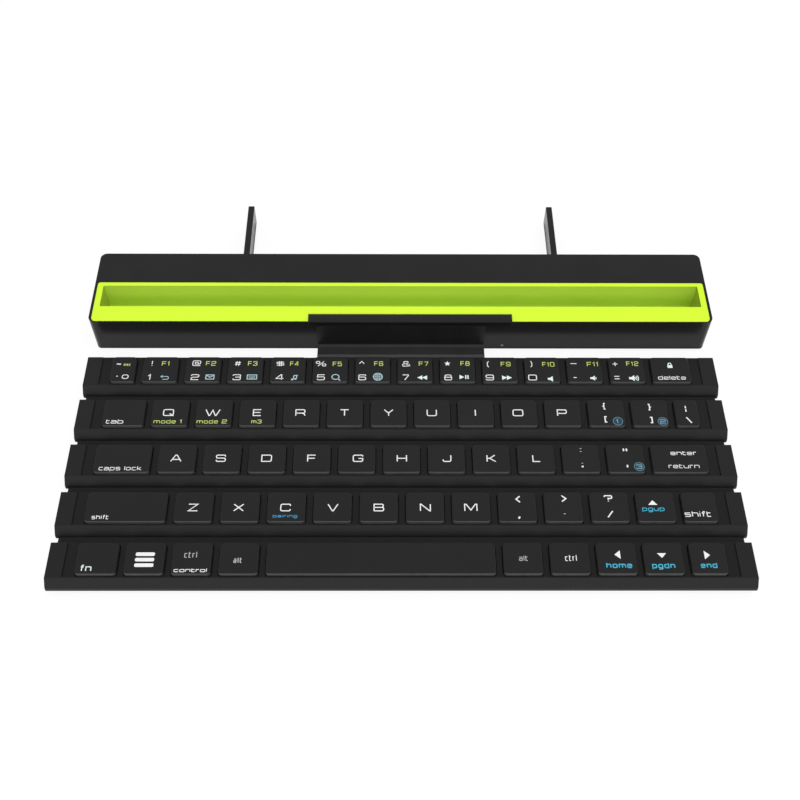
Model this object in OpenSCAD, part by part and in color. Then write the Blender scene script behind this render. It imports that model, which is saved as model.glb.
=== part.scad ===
// Roll-up keyboard: a stand bar with a slot for a phone or tablet, and five hinged rows of keys.
// Lengths are in millimetres. X runs to the right, Y to the back and Z up from the table.
// The origin is on the table, under the middle of the opened keyboard.

/* [Stand bar] */
// Length of the stand bar
bar_w = 268; // [264:1:300]
// Depth of the stand bar, from its front face to its back face
bar_d = 39.5; // [38.5:0.5:46]
// Height of the stand bar's top above the table
bar_h = 19; // [18.5:0.5:24]
// Radius of the stand bar's four upright corners
bar_r = 2.8; // [2:0.2:4]
// Thickness of the housing's walls
bar_wall = 1.6; // [1.4:0.1:2]
// Thickness of the base cover
cover_t = 1.6; // [1.5:0.1:2]
// Height of the bevel round the base cover's lower edge
cover_bevel = 0.3; // [0.2:0.1:1]
// How far the bar's rubber feet lift it off the table
foot_lift = 0.5; // [0.4:0.1:0.8]
// Radius of a rubber foot of the bar
foot_r = 4; // [3:0.5:5]

/* [Device slot] */
// Depth of the coloured tray, from front to back
tray_d = 22.1; // [21.8:0.1:22.4]
// Thickness of the tray's flat rim
tray_t = 1.6; // [1.2:0.1:2]
// Width of the black edge left at each end of the tray
tray_end_rim = 1.1; // [0.8:0.1:1.4]
// Width of the black edge left in front of the tray
tray_front_rim = 0.4; // [0.3:0.1:0.8]
// Radius of the tray's corners
tray_r = 1.6; // [1:0.1:2]
// Distance of the slot behind the bar's front face
slot_back = 8.7; // [8.5:0.1:9.2]
// Width of the slot that the device stands in
slot_d = 11.7; // [10:0.1:11.8]
// Depth of the slot below the bar's top
slot_depth = 13.5; // [10:0.5:13.5]
// Width of the tray's rim at each end of the slot
slot_end_rim = 2.7; // [2:0.1:4]
// Thickness of the walls round the slot
slot_wall = 1.2; // [0.8:0.1:1.2]

/* [Folding band] */
// Width of the flexible band between the bar and the first row
band_w = 72.8; // [60:0.2:80]
// Thickness of the band
band_t = 1; // [0.8:0.1:1.2]
// Height of the band's middle above the table where it leaves the bar
band_z = 4; // [3.6:0.1:4.2]
// Left end of the clamp plate on the bar's front edge
clamp_left = -39.8; // [-60:0.2:-38]
// Right end of the clamp plate
clamp_right = 47.6; // [44:0.2:60]
// How far the clamp plate reaches back over the tray's rim
clamp_d = 4.2; // [3:0.1:6]
// Thickness of the clamp plate
clamp_t = 0.8; // [0.6:0.1:1]
// How far the clamp plate's lip hangs down the front face
clamp_drop = 1.6; // [1:0.1:3]
// Distance of the status light from the bar's middle
led_x = 44.5; // [42:0.5:100]
// Height of the status light above the table
led_z = 3.1; // [3:0.1:6]
// Radius of the status light
led_r = 0.6; // [0.5:0.1:0.8]

/* [Legs] */
// Distance of each leg's pin from the bar's middle
leg_x = 70.5; // [66:0.5:76]
// How far an opened leg reaches behind the bar
leg_reach = 38; // [30:1:42]
// Thickness of a leg
leg_t = 2.8; // [2.4:0.1:3]
// Height of a leg's top above the table
leg_top = 11; // [9:0.5:12]
// Height of a leg's lower edge above the table
leg_bottom = 0.3; // [0.2:0.1:0.6]
// Radius of a leg's steel pin
pin_r = 0.8; // [0.6:0.1:0.9]
// Length of the finger notch past the tip of a folded leg
finger_notch = 5; // [3:0.5:8]

/* [Rows] */
// Length of a key row
row_w = 268; // [265:1:300]
// Height of a row's top above the table
row_h = 9.3; // [9:0.1:11]
// Depth of a row's flat top
row_top_d = 15; // [14.8:0.1:15.4]
// How far a row's front stands out past its top
row_nose = 2.9; // [2.5:0.1:3.1]
// How far a row's back stands out past its top
row_tail = 2.2; // [2:0.1:2.4]
// Distance from one row to the next
row_pitch = 22.33; // [22.2:0.01:24]
// Distance from the bar's front face to the first row's upper back edge
row_gap = 11.6; // [11:0.1:16]
// Height of the hinges between the rows
hinge_z = 5; // [4.9:0.1:5.3]
// Thickness of the rubber hinge strips
strip_t = 1; // [0.8:0.1:1.2]
// How far a hinge strip stops short of each end of a row
strip_inset = 1.2; // [1:0.1:5]
// Thickness of a row's floor
row_floor = 1; // [0.8:0.1:1.2]
// Thickness of a row's end walls
row_end_wall = 2; // [1.5:0.1:3]
// Width of the raised block at each end of a row
end_block = 6.4; // [5:0.1:8]
// How far the field of keys lies below the end blocks
well_drop = 0.6; // [0.3:0.1:0.8]
// Thickness of the plate that the keys come up through
plate_t = 1.3; // [1:0.1:1.5]

/* [Keys] */
// Width of a standard key
key_w = 15; // [14:0.1:15.2]
// Depth of a key from front to back
key_d = 13.4; // [12:0.1:13.4]
// Space between neighbouring keys
key_gap = 3; // [2.8:0.1:3.4]
// Space between neighbouring keys in the row with the space bar
bottom_gap = 2.75; // [2.7:0.05:3.4]
// Distance from each end of a row to its outermost key
field_margin = 11.2; // [10:0.1:14]
// Height of the keys above the rows' tops
key_rise = 1.15; // [0.8:0.05:1.5]
// Travel of a pressed key
key_travel = 1.2; // [0.8:0.1:1.4]
// Radius of a key's corners
key_r = 1.5; // [1:0.1:2]
// Width of the bevel round a key's top
key_bevel = 0.45; // [0.2:0.05:0.6]
// Width of the escape key
esc_w = 10.2; // [9:0.1:12]
// Width of the tab key
tab_w = 17; // [15:0.1:18]
// Width of the caps lock key
caps_w = 22.3; // [20:0.1:24]
// Width of the left shift key
shift_w = 31.3; // [28:0.1:33]
// Width of the fn key
fn_w = 15.4; // [14:0.1:17]
// Width of the right arrow key
arrow_w = 13.6; // [12:0.1:16]

/* [Hidden] */
$fn = 32;

// Clearances: a pin in its bore, parts that slide past each other, and a rubber strip in its groove
pin_fit = 0.05;
slide_fit = 0.3;
strip_fit = 0.1;
// A cut reaches this far past the face it opens
cut = 0.5;

// Where the bar and the rows stand, so that the opened keyboard is centred on the origin
row_d = row_top_d + row_nose;
rows = 5;
front_reach = row_gap + (rows - 1) * row_pitch + row_d;
back_reach = bar_d + leg_reach;
bar_y = (front_reach - back_reach) / 2;
function row_y(k) = bar_y - row_gap - (k - 1) * row_pitch;

// Levels in the bar
cover_top = foot_lift + cover_t;
tray_z = bar_h - tray_t;
slot_z = bar_h - slot_depth;
ledge_t = 1.5;

// The slot between its walls, and the ledge behind it
slot_w = bar_w - 2 * (tray_end_rim + slot_end_rim);
ledge_front = slot_back + slot_d + slot_wall + slide_fit;
ledge_back = tray_front_rim + tray_d + 2.4;

// Legs: a recess in the back face takes the folded leg
leg_pin_in = leg_t / 2 + slide_fit;
leg_pin_y = bar_y + bar_d - leg_pin_in;
leg_len = leg_reach + leg_pin_in;
recess_d = leg_t + 2 * slide_fit;
recess_top = leg_top + slide_fit;
recess_wall = 1.4;
recess_len = leg_len + slide_fit + finger_notch;
knuckle_len = 3.2;
knuckle_z = cover_top + slide_fit;
blade_sweep = sqrt(knuckle_len * knuckle_len - leg_pin_in * leg_pin_in);
pin_head_room = 2.2;
pin_bottom = foot_lift + 0.6;

// Screws that hold the base cover
screw_r = 0.75;
screw_head_r = 1.5;
screw_head_t = 0.9;
screw_len = 8;
screw_boss_r = 2.2;
screw_in_x = 8;
screw_front_y = 3.4;
screw_back_y = 8.5;
screw_mid_x = 62;
screw_places = [
    for (side = [-1, 1]) each [
        [side * (bar_w / 2 - screw_in_x), bar_y + screw_front_y],
        [side * screw_mid_x, bar_y + screw_front_y],
        [side * (bar_w / 2 - screw_in_x), bar_y + bar_d - screw_back_y]
    ]
];

// Rubber feet sit in shallow recesses
foot_seat = 0.3;
foot_in_x = 17;
foot_front_y = 6.5;
foot_back_y = 8.5;
foot_places = [
    for (side = [-1, 1], y = [bar_y + foot_front_y, bar_y + bar_d - foot_back_y])
        [side * (bar_w / 2 - foot_in_x), y]
];

// Battery, circuit board and charging socket in the compartment behind the tray
battery_w = 70;
battery_d = 10.4;
battery_h = 9;
battery_x = -25;
battery_y = bar_y + bar_d - bar_wall - slide_fit - battery_d / 2;
board_w = 42;
board_d = 11;
board_t = 1;
board_x = 40;
board_z = cover_top + 1.2;
post_r = 1.5;
post_in = 3;
socket_w = 7.6;
socket_h = 2.7;
socket_d = 5.6;
socket_inset = 0.3;
board_y = bar_y + bar_d - bar_wall - slide_fit - board_d / 2;

// Levels and outline of a row, whose Y is counted from its upper back edge
row_split = hinge_z - strip_t / 2 - strip_fit;
skid_t = 0.4;
well_z = row_h - well_drop;
plate_z = well_z - plate_t;
nose_round = 0.3;
nose_top = hinge_z + 0.7;
nose_shoulder = hinge_z + 1.6;
toe = 2.4;
heel = 1.8;
heel_z = hinge_z - 1.4;
cavity_front = row_top_d + 0.4;
cavity_back = 0.2;
floor_front = row_d - toe - 1.6;
floor_back = 1.2;
strip_seat = 1.3;
band_seat = 1.2;
lip_gap = 0.5;
row_foot_w = 22;
row_foot_d = 4;
row_foot_r = 1;
row_foot_in = 26;

// A key hangs by its flanges under the plate, and is guided by its opening
key_back = 0.6;
key_mid = key_back + key_d / 2;
key_top = row_h + key_rise;
flange_t = 0.8;
flange_out = 0.7;
flange_play = 0.1;
flange_z = plate_z - flange_play - flange_t;
key_roof = 1.3;
key_skin = 1.1;
plunger_r = 1.8;
dome_r = 3.2;
dome_tip_r = 1.6;
dome_play = 0.1;
dome_top = flange_z - key_travel - dome_play;
sheet_t = 0.7;
sheet_margin = 0.4;

// Widths of the keys in each row, left to right: the key written as 0 takes the width that is left.
// They were drawn for a field of keys of one width, and grow and shrink with it.
field_w = row_w - 2 * field_margin;
drawn_field_w = 245.6;
key_scale = field_w / drawn_field_w;
function repeated(value, count) = [for (i = [1:count]) value];
function total(list, count) = count == 0 ? 0 : list[count - 1] + total(list, count - 1);
function filled(list, gap) =
    let (left = drawn_field_w - total(list, len(list)) - gap * (len(list) - 1))
    [for (w = list) key_scale * (w == 0 ? left : w)];
row_keys = [
    filled(concat([esc_w], repeated(key_w, 12), [0]), key_gap),
    filled(concat([tab_w], repeated(key_w, 12), [0]), key_gap),
    filled(concat([caps_w], repeated(key_w, 11), [0]), key_gap),
    filled(concat([shift_w], repeated(key_w, 11), [0]), key_gap),
    filled(concat([fn_w], repeated(key_w, 3), [0], repeated(key_w, 4), [arrow_w]), bottom_gap)
];
function gap_of(k) = key_scale * (k == rows ? bottom_gap : key_gap);
function width_of(k, i) = row_keys[k - 1][i];
function key_x(k, i) =
    -field_w / 2 + total(row_keys[k - 1], i) + i * gap_of(k) + width_of(k, i) / 2;

// Colours
black = [0.16, 0.16, 0.17];
dark = [0.10, 0.10, 0.11];
key_black = [0.20, 0.20, 0.21];
rubber = [0.07, 0.07, 0.07];
lime = [0.83, 1.0, 0.20];
steel = [0.75, 0.76, 0.78];
board_green = [0.05, 0.35, 0.20];
foil = [0.70, 0.72, 0.75];
silicone = [0.80, 0.80, 0.78];
teal = [0.20, 0.80, 0.75];

// A rectangle with round corners, centred
module round_rect(w, d, r) {
    square([w - 2 * r, d], center = true);
    square([w, d - 2 * r], center = true);
    for (x = [-1, 1], y = [-1, 1])
        translate([x * (w / 2 - r), y * (d / 2 - r)]) circle(r);
}

// A block with round upright corners, centred in plan, standing on z = 0
module round_block(w, d, r, h) linear_extrude(h) round_rect(w, d, r);

// A round block whose four upper edges are bevelled
module bevelled_block(w, d, r, h, bevel) intersection() {
    round_block(w, d, r, h);
    along_x(w + cut) bevel_outline(d, h, bevel);
    rotate([0, 0, 90]) along_x(d + cut) bevel_outline(w, h, bevel);
}

module bevel_outline(d, h, bevel) polygon([
    [-d / 2, 0], [d / 2, 0],
    [d / 2, h - bevel], [d / 2 - bevel, h],
    [bevel - d / 2, h], [-d / 2, h - bevel]
]);

// An outline drawn in Y and Z, run along X
module along_x(length) rotate([90, 0, 90]) linear_extrude(length, center = true) children();

// A box from low corner to high corner
module span(low, high) translate(low) cube(high - low);

// Places on the bar: plan centre, and the back recess of one leg with that leg's side
module at_bar() translate([0, bar_y + bar_d / 2, 0]) children();

module leg_recess(side) {
    x_in = leg_x - leg_t / 2 - slide_fit;
    mirror([side < 0 ? 1 : 0, 0, 0])
        span([x_in, bar_y + bar_d - recess_d, foot_lift - cut],
             [leg_x + recess_len, bar_y + bar_d + cut, recess_top]);
}

// Solid material round a leg's recess, up to the roof over the pin
module leg_pocket(side) {
    x_in = leg_x - leg_t / 2 - slide_fit - recess_wall;
    y_in = bar_y + bar_d - recess_d - recess_wall;
    y_out = bar_y + bar_d - bar_wall / 2;
    mirror([side < 0 ? 1 : 0, 0, 0]) {
        span([x_in, y_in, cover_top],
             [leg_x + recess_len + recess_wall, y_out, recess_top + recess_wall]);
        span([x_in, y_in, cover_top], [leg_x + knuckle_len, y_out, tray_z + tray_t / 2]);
    }
}

module bar_housing() color(black) difference() {
    union() {
        difference() {
            at_bar() translate([0, 0, cover_top])
                round_block(bar_w, bar_d, bar_r, bar_h - cover_top);
            at_bar() translate([0, 0, cover_top - cut])
                round_block(bar_w - 2 * bar_wall, bar_d - 2 * bar_wall, bar_r - bar_wall / 2,
                            tray_z - cover_top + cut);
        }
        // Ledge under the tray's back edge
        span([-bar_w / 2 + bar_wall / 2, bar_y + ledge_front, tray_z - ledge_t],
             [bar_w / 2 - bar_wall / 2, bar_y + ledge_back, tray_z + tray_t / 2]);
        for (side = [-1, 1]) leg_pocket(side);
        for (place = screw_places)
            translate([place[0], place[1], cover_top])
                cylinder(r = screw_boss_r, h = tray_z - cover_top);
    }
    // Opening for the tray, and the way down for its slot
    translate([0, bar_y + tray_front_rim + tray_d / 2, tray_z])
        round_block(bar_w - 2 * tray_end_rim, tray_d, tray_r, tray_t + cut);
    span([-bar_w / 2 + bar_wall, bar_y + bar_wall, tray_z - ledge_t],
         [bar_w / 2 - bar_wall, bar_y + slot_back - slot_wall - slide_fit, tray_z + cut]);
    span([-slot_w / 2 - slot_wall - slide_fit, bar_y + bar_wall, tray_z - ledge_t - cut],
         [slot_w / 2 + slot_wall + slide_fit, bar_y + ledge_front, tray_z + cut]);
    for (side = [-1, 1]) {
        leg_recess(side);
        translate([side * leg_x, leg_pin_y, 0])
            cylinder(r = pin_r, h = recess_top + pin_head_room);
    }
    for (place = screw_places)
        translate([place[0], place[1], 0]) cylinder(r = screw_r + pin_fit, h = screw_len + 1);
    // Openings for the status light and the charging socket
    translate([led_x, bar_y - cut, led_z]) rotate([-90, 0, 0])
        cylinder(r = led_r + pin_fit, h = bar_wall + 2 * cut);
    span([board_x - socket_w / 2 - slide_fit, bar_y + bar_d - bar_wall - cut,
          board_z + board_t - slide_fit],
         [board_x + socket_w / 2 + slide_fit, bar_y + bar_d + cut,
          board_z + board_t + socket_h + slide_fit]);
}

module bar_base_cover() color(dark) difference() {
    union() {
        at_bar() translate([0, 0, cover_top]) mirror([0, 0, 1])
            bevelled_block(bar_w, bar_d, bar_r, cover_t, cover_bevel);
        for (x = [-1, 1], y = [-1, 1])
            translate([board_x + x * (board_w / 2 - post_in), board_y + y * (board_d / 2 - post_in),
                       cover_top])
                cylinder(r = post_r, h = board_z - cover_top);
    }
    for (side = [-1, 1]) {
        mirror([side < 0 ? 1 : 0, 0, 0])
            span([leg_x + blade_sweep - slide_fit, bar_y + bar_d - recess_d, foot_lift - cut],
                 [leg_x + recess_len, bar_y + bar_d + cut, cover_top + cut]);
        translate([side * leg_x, leg_pin_y, pin_bottom]) cylinder(r = pin_r, h = cover_t);
    }
    for (place = screw_places) translate([place[0], place[1], 0]) {
        cylinder(r = screw_r + pin_fit, h = cover_top + cut);
        cylinder(r = screw_head_r + slide_fit, h = foot_lift + screw_head_t);
    }
    for (place = foot_places)
        translate([place[0], place[1], 0]) cylinder(r = foot_r + pin_fit, h = foot_lift + foot_seat);
}

module device_tray() color(lime) difference() {
    union() {
        translate([0, bar_y + tray_front_rim + tray_d / 2, tray_z])
            round_block(bar_w - 2 * tray_end_rim, tray_d, tray_r, tray_t);
        span([-slot_w / 2 - slot_wall, bar_y + slot_back - slot_wall, slot_z - slot_wall],
             [slot_w / 2 + slot_wall, bar_y + slot_back + slot_d + slot_wall, tray_z + tray_t / 2]);
    }
    span([-slot_w / 2, bar_y + slot_back, slot_z],
         [slot_w / 2, bar_y + slot_back + slot_d, bar_h + cut]);
}

module clamp_plate() color(black) {
    span([clamp_left, bar_y - clamp_t, bar_h], [clamp_right, bar_y + clamp_d, bar_h + clamp_t]);
    span([clamp_left, bar_y - clamp_t, bar_h - clamp_drop], [clamp_right, bar_y, bar_h + clamp_t]);
}

// The band hangs down the front face, bends forward and ends in the first row's back
band_bend = 2.5;
band_under = band_z - band_t / 2;
band_tip_y = row_y(1) + row_tail - band_seat;
module link_band() color(rubber) along_x(band_w) {
    translate([bar_y - band_t, band_under + band_bend])
        square([band_t, bar_h - clamp_drop - band_under - band_bend]);
    translate([bar_y - band_bend, band_under + band_bend]) difference() {
        intersection() {
            circle(band_bend);
            translate([0, -band_bend]) square(band_bend);
        }
        circle(band_bend - band_t);
    }
    translate([band_tip_y, band_under]) square([bar_y - band_bend - band_tip_y, band_t]);
}

module battery() color(foil)
    translate([battery_x, battery_y, cover_top])
        round_block(battery_w, battery_d, 1, battery_h);

module main_board() color(board_green) translate([board_x, board_y, board_z]) {
    round_block(board_w, board_d, 0.6, board_t);
    translate([-11, 0, board_t]) round_block(7, 7, 0.3, 0.9);
    translate([-board_w / 2 + 4, 0, board_t]) round_block(4, 6, 0.3, 1.6);
    translate([12, 1, board_t]) round_block(5, 4, 0.3, 0.8);
}

module usb_socket() color(steel)
    translate([board_x, bar_y + bar_d - socket_inset - socket_d / 2, board_z + board_t])
        difference() {
            round_block(socket_w, socket_d, 0.4, socket_h);
            span([-socket_w / 2 + 0.4, -socket_d / 2 + 1, 0.4],
                 [socket_w / 2 - 0.4, socket_d / 2 + cut, socket_h - 0.4]);
        }

module status_led() color(teal) translate([led_x, bar_y, led_z]) rotate([-90, 0, 0]) {
    cylinder(r = led_r, h = bar_wall);
    translate([0, 0, bar_wall]) cylinder(r = led_r + 0.3, h = 1);
}

module bar_feet() color(rubber)
    for (place = foot_places)
        translate([place[0], place[1], 0]) cylinder(r = foot_r, h = foot_lift + foot_seat);

module bar_screws() color(steel)
    for (place = screw_places) translate([place[0], place[1], foot_lift + screw_head_t]) {
        translate([0, 0, -screw_head_t]) difference() {
            cylinder(r = screw_head_r, h = screw_head_t);
            span([-0.9, -0.2, -cut], [0.9, 0.2, 0.4]);
            span([-0.2, -0.9, -cut], [0.2, 0.9, 0.4]);
        }
        cylinder(r = screw_r, h = screw_len - foot_lift - screw_head_t);
    }

module leg_pins() color(steel)
    for (side = [-1, 1])
        translate([side * leg_x, leg_pin_y, pin_bottom])
            cylinder(r = pin_r, h = recess_top + pin_head_room - pin_bottom);

// One leg, opened: a round knuckle on the pin and a flat blade behind it
module leg(side) color(black) translate([side * leg_x, leg_pin_y, 0]) difference() {
    union() {
        translate([0, 0, knuckle_z]) cylinder(r = leg_t / 2, h = leg_top - knuckle_z);
        span([-leg_t / 2, 0, knuckle_z], [leg_t / 2, leg_len, leg_top]);
        span([-leg_t / 2, knuckle_len, leg_bottom], [leg_t / 2, leg_len, leg_top]);
    }
    cylinder(r = pin_r + pin_fit, h = leg_top + cut);
}

// Outline of a row from side on, with its upper back edge at Y = 0
module row_outline() polygon([
    [0, row_h],
    [-row_top_d, row_h],
    [nose_round - row_d, nose_shoulder],
    [-row_d, nose_top],
    [-row_d, row_split],
    [toe - row_d, skid_t],
    [row_tail - heel, skid_t],
    [row_tail, heel_z],
    [row_tail, hinge_z]
]);

module at_row(k) translate([0, row_y(k), 0]) children();

// Grooves for the rubber strips, and the first row's groove for the band
module row_grooves(k) {
    strip_groove = [row_w - 2 * strip_inset + 2 * slide_fit, 2 * (strip_seat + strip_fit),
                    strip_t + 2 * strip_fit];
    band_groove = [band_w + 2 * slide_fit, 2 * (band_seat + strip_fit), band_t + 2 * strip_fit];
    if (k < rows) translate([0, -row_d, hinge_z]) cube(strip_groove, center = true);
    if (k > 1) translate([0, row_tail, hinge_z]) cube(strip_groove, center = true);
    if (k == 1) translate([0, row_tail, band_z]) cube(band_groove, center = true);
}

// The two pads under a row
module row_pads(h, fit = 0)
    for (x = [-1, 1])
        translate([x * (row_w / 2 - row_foot_in), -key_mid, 0])
            round_block(row_foot_w + 2 * fit, row_foot_d + 2 * fit, row_foot_r + fit, h);

module row_base(k) color(dark) at_row(k) difference() {
    union() {
        intersection() {
            along_x(row_w) row_outline();
            span([-row_w, -row_d - 1, 0], [row_w, row_tail + 1, row_split]);
        }
        if (k < rows) row_pads(skid_t + row_floor / 2);
    }
    along_x(row_w - 2 * row_end_wall) polygon([
        [-cavity_front, row_split + cut],
        [-cavity_front, row_split],
        [-floor_front, skid_t + row_floor],
        [-floor_back, skid_t + row_floor],
        [cavity_back, heel_z],
        [cavity_back, row_split + cut]
    ]);
    row_grooves(k);
    if (k == rows) row_pads(skid_t + foot_seat, pin_fit);
}

module row_5_feet() color(rubber) at_row(rows) row_pads(skid_t + foot_seat);

module row_frame(k) color(black) at_row(k) difference() {
    intersection() {
        along_x(row_w) row_outline();
        span([-row_w, -row_d - 1, row_split], [row_w, row_tail + 1, row_h]);
    }
    // Space under the plate, and the lowered field that the keys stand in
    span([-row_w / 2 + row_end_wall, -cavity_front, row_split - cut],
         [row_w / 2 - row_end_wall, cavity_back, plate_z]);
    span([-row_w / 2 + end_block, -key_back - key_d - lip_gap, well_z],
         [row_w / 2 - end_block, row_tail + cut, row_h + cut]);
    for (i = [0:len(row_keys[k - 1]) - 1])
        translate([key_x(k, i), -key_mid, plate_z - cut])
            round_block(width_of(k, i) + 2 * slide_fit, key_d + 2 * slide_fit, key_r + slide_fit,
                        plate_t + 2 * cut);
    row_grooves(k);
}

// Rubber sheet with a dome under each key, drawn as tall as a pressed dome
module row_dome_sheet(k) color(silicone) at_row(k) translate([0, 0, skid_t + row_floor]) {
    span([-field_w / 2, sheet_margin - floor_front, 0],
         [field_w / 2, -sheet_margin - floor_back, sheet_t]);
    for (i = [0:len(row_keys[k - 1]) - 1])
        translate([key_x(k, i), -key_mid, 0])
            cylinder(r1 = dome_r, r2 = dome_tip_r, h = dome_top - skid_t - row_floor);
}

module hinge_strip(k) color(rubber) at_row(k)
    translate([0, -row_d + strip_seat, hinge_z - strip_t / 2]) mirror([0, 1, 0])
        translate([-row_w / 2 + strip_inset, 0, 0])
            cube([row_w - 2 * strip_inset, row_pitch - row_tail - row_d + 2 * strip_seat, strip_t]);

// One key: bevelled cap, side flanges under the plate, hollow inside with a plunger
module key(w) {
    difference() {
        union() {
            translate([0, 0, flange_z]) bevelled_block(w, key_d, key_r, key_top - flange_z, key_bevel);
            translate([-w / 2 - flange_out, key_r - key_d / 2, flange_z])
                cube([w + 2 * flange_out, key_d - 2 * key_r, flange_t]);
        }
        translate([0, 0, flange_z - cut])
            round_block(w - 2 * key_skin, key_d - 2 * key_skin, 0.5, key_top - key_roof - flange_z + cut);
    }
    translate([0, 0, flange_z]) cylinder(r = plunger_r, h = key_top - key_roof / 2 - flange_z);
}

// The keys of row k, from place first to place last
module keys(k, first, last) color(key_black) at_row(k)
    for (i = [first:last]) translate([key_x(k, i), -key_mid, 0]) key(width_of(k, i));

bar_housing();
bar_base_cover();
device_tray();
clamp_plate();
link_band();
battery();
main_board();
usb_socket();
status_led();
bar_feet();
bar_screws();
leg_pins();
leg(-1);  // left_leg
leg(1);  // right_leg
row_base(1);  // row_1_base
row_base(2);  // row_2_base
row_base(3);  // row_3_base
row_base(4);  // row_4_base
row_base(5);  // row_5_base
row_frame(1);  // row_1_frame
row_frame(2);  // row_2_frame
row_frame(3);  // row_3_frame
row_frame(4);  // row_4_frame
row_frame(5);  // row_5_frame
row_dome_sheet(1);  // row_1_dome_sheet
row_dome_sheet(2);  // row_2_dome_sheet
row_dome_sheet(3);  // row_3_dome_sheet
row_dome_sheet(4);  // row_4_dome_sheet
row_dome_sheet(5);  // row_5_dome_sheet
hinge_strip(1);  // hinge_strip_1
hinge_strip(2);  // hinge_strip_2
hinge_strip(3);  // hinge_strip_3
hinge_strip(4);  // hinge_strip_4
row_5_feet();
keys(1, 0, 0);  // esc_key
keys(1, 1, 12);  // digit_keys
keys(1, 13, 13);  // delete_key
keys(2, 0, 0);  // tab_key
keys(2, 1, 12);  // upper_letter_keys
keys(2, 13, 13);  // backslash_key
keys(3, 0, 0);  // caps_lock_key
keys(3, 1, 11);  // home_letter_keys
keys(3, 12, 12);  // enter_key
keys(4, 0, 0);  // left_shift_key
keys(4, 1, 10);  // lower_letter_keys
keys(4, 11, 11);  // up_key
keys(4, 12, 12);  // right_shift_key
keys(5, 0, 0);  // fn_key
keys(5, 1, 1);  // menu_key
keys(5, 2, 2);  // left_ctrl_key
keys(5, 3, 3);  // left_alt_key
keys(5, 4, 4);  // space_bar
keys(5, 5, 5);  // right_alt_key
keys(5, 6, 6);  // right_ctrl_key
keys(5, 7, 7);  // left_key
keys(5, 8, 8);  // down_key
keys(5, 9, 9);  // right_key
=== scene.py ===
# Roll-up keyboard with a stand bar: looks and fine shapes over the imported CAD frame.
# Lengths in this file are millimetres, scaled to metres when a mesh is made.
import bpy
import bmesh
import math
from mathutils import Matrix, Vector


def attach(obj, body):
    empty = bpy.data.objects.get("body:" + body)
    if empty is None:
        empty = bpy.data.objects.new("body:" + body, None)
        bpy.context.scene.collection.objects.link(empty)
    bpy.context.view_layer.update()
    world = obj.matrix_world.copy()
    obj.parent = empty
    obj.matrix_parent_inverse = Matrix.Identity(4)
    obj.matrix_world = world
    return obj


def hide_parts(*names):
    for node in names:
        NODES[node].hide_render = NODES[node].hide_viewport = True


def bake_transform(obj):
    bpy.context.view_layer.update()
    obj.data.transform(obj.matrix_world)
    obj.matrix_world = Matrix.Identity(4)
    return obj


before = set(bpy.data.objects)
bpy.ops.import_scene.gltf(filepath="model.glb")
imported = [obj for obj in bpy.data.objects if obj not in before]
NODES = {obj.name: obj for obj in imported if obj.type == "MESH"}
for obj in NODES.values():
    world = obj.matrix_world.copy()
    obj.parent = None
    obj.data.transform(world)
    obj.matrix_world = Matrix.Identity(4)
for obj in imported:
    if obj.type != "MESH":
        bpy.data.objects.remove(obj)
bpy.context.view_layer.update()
MM = 0.001

# Places repeated from the CAD source
BAR_Y, BAR_D, BAR_H = 20.66, 39.5, 19.0
ROW_Y = [9.06 - 22.33 * k for k in range(5)]
HINGE_Z = 5.0
KEY_D, KEY_R, KEY_TOP, FLANGE_Z = 13.4, 1.5, 10.45, 6.5
KEY_MID = 7.3


# ---------------------------------------------------------------- materials
def socket(node, name, value):
    node.inputs[name].default_value = value


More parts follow.
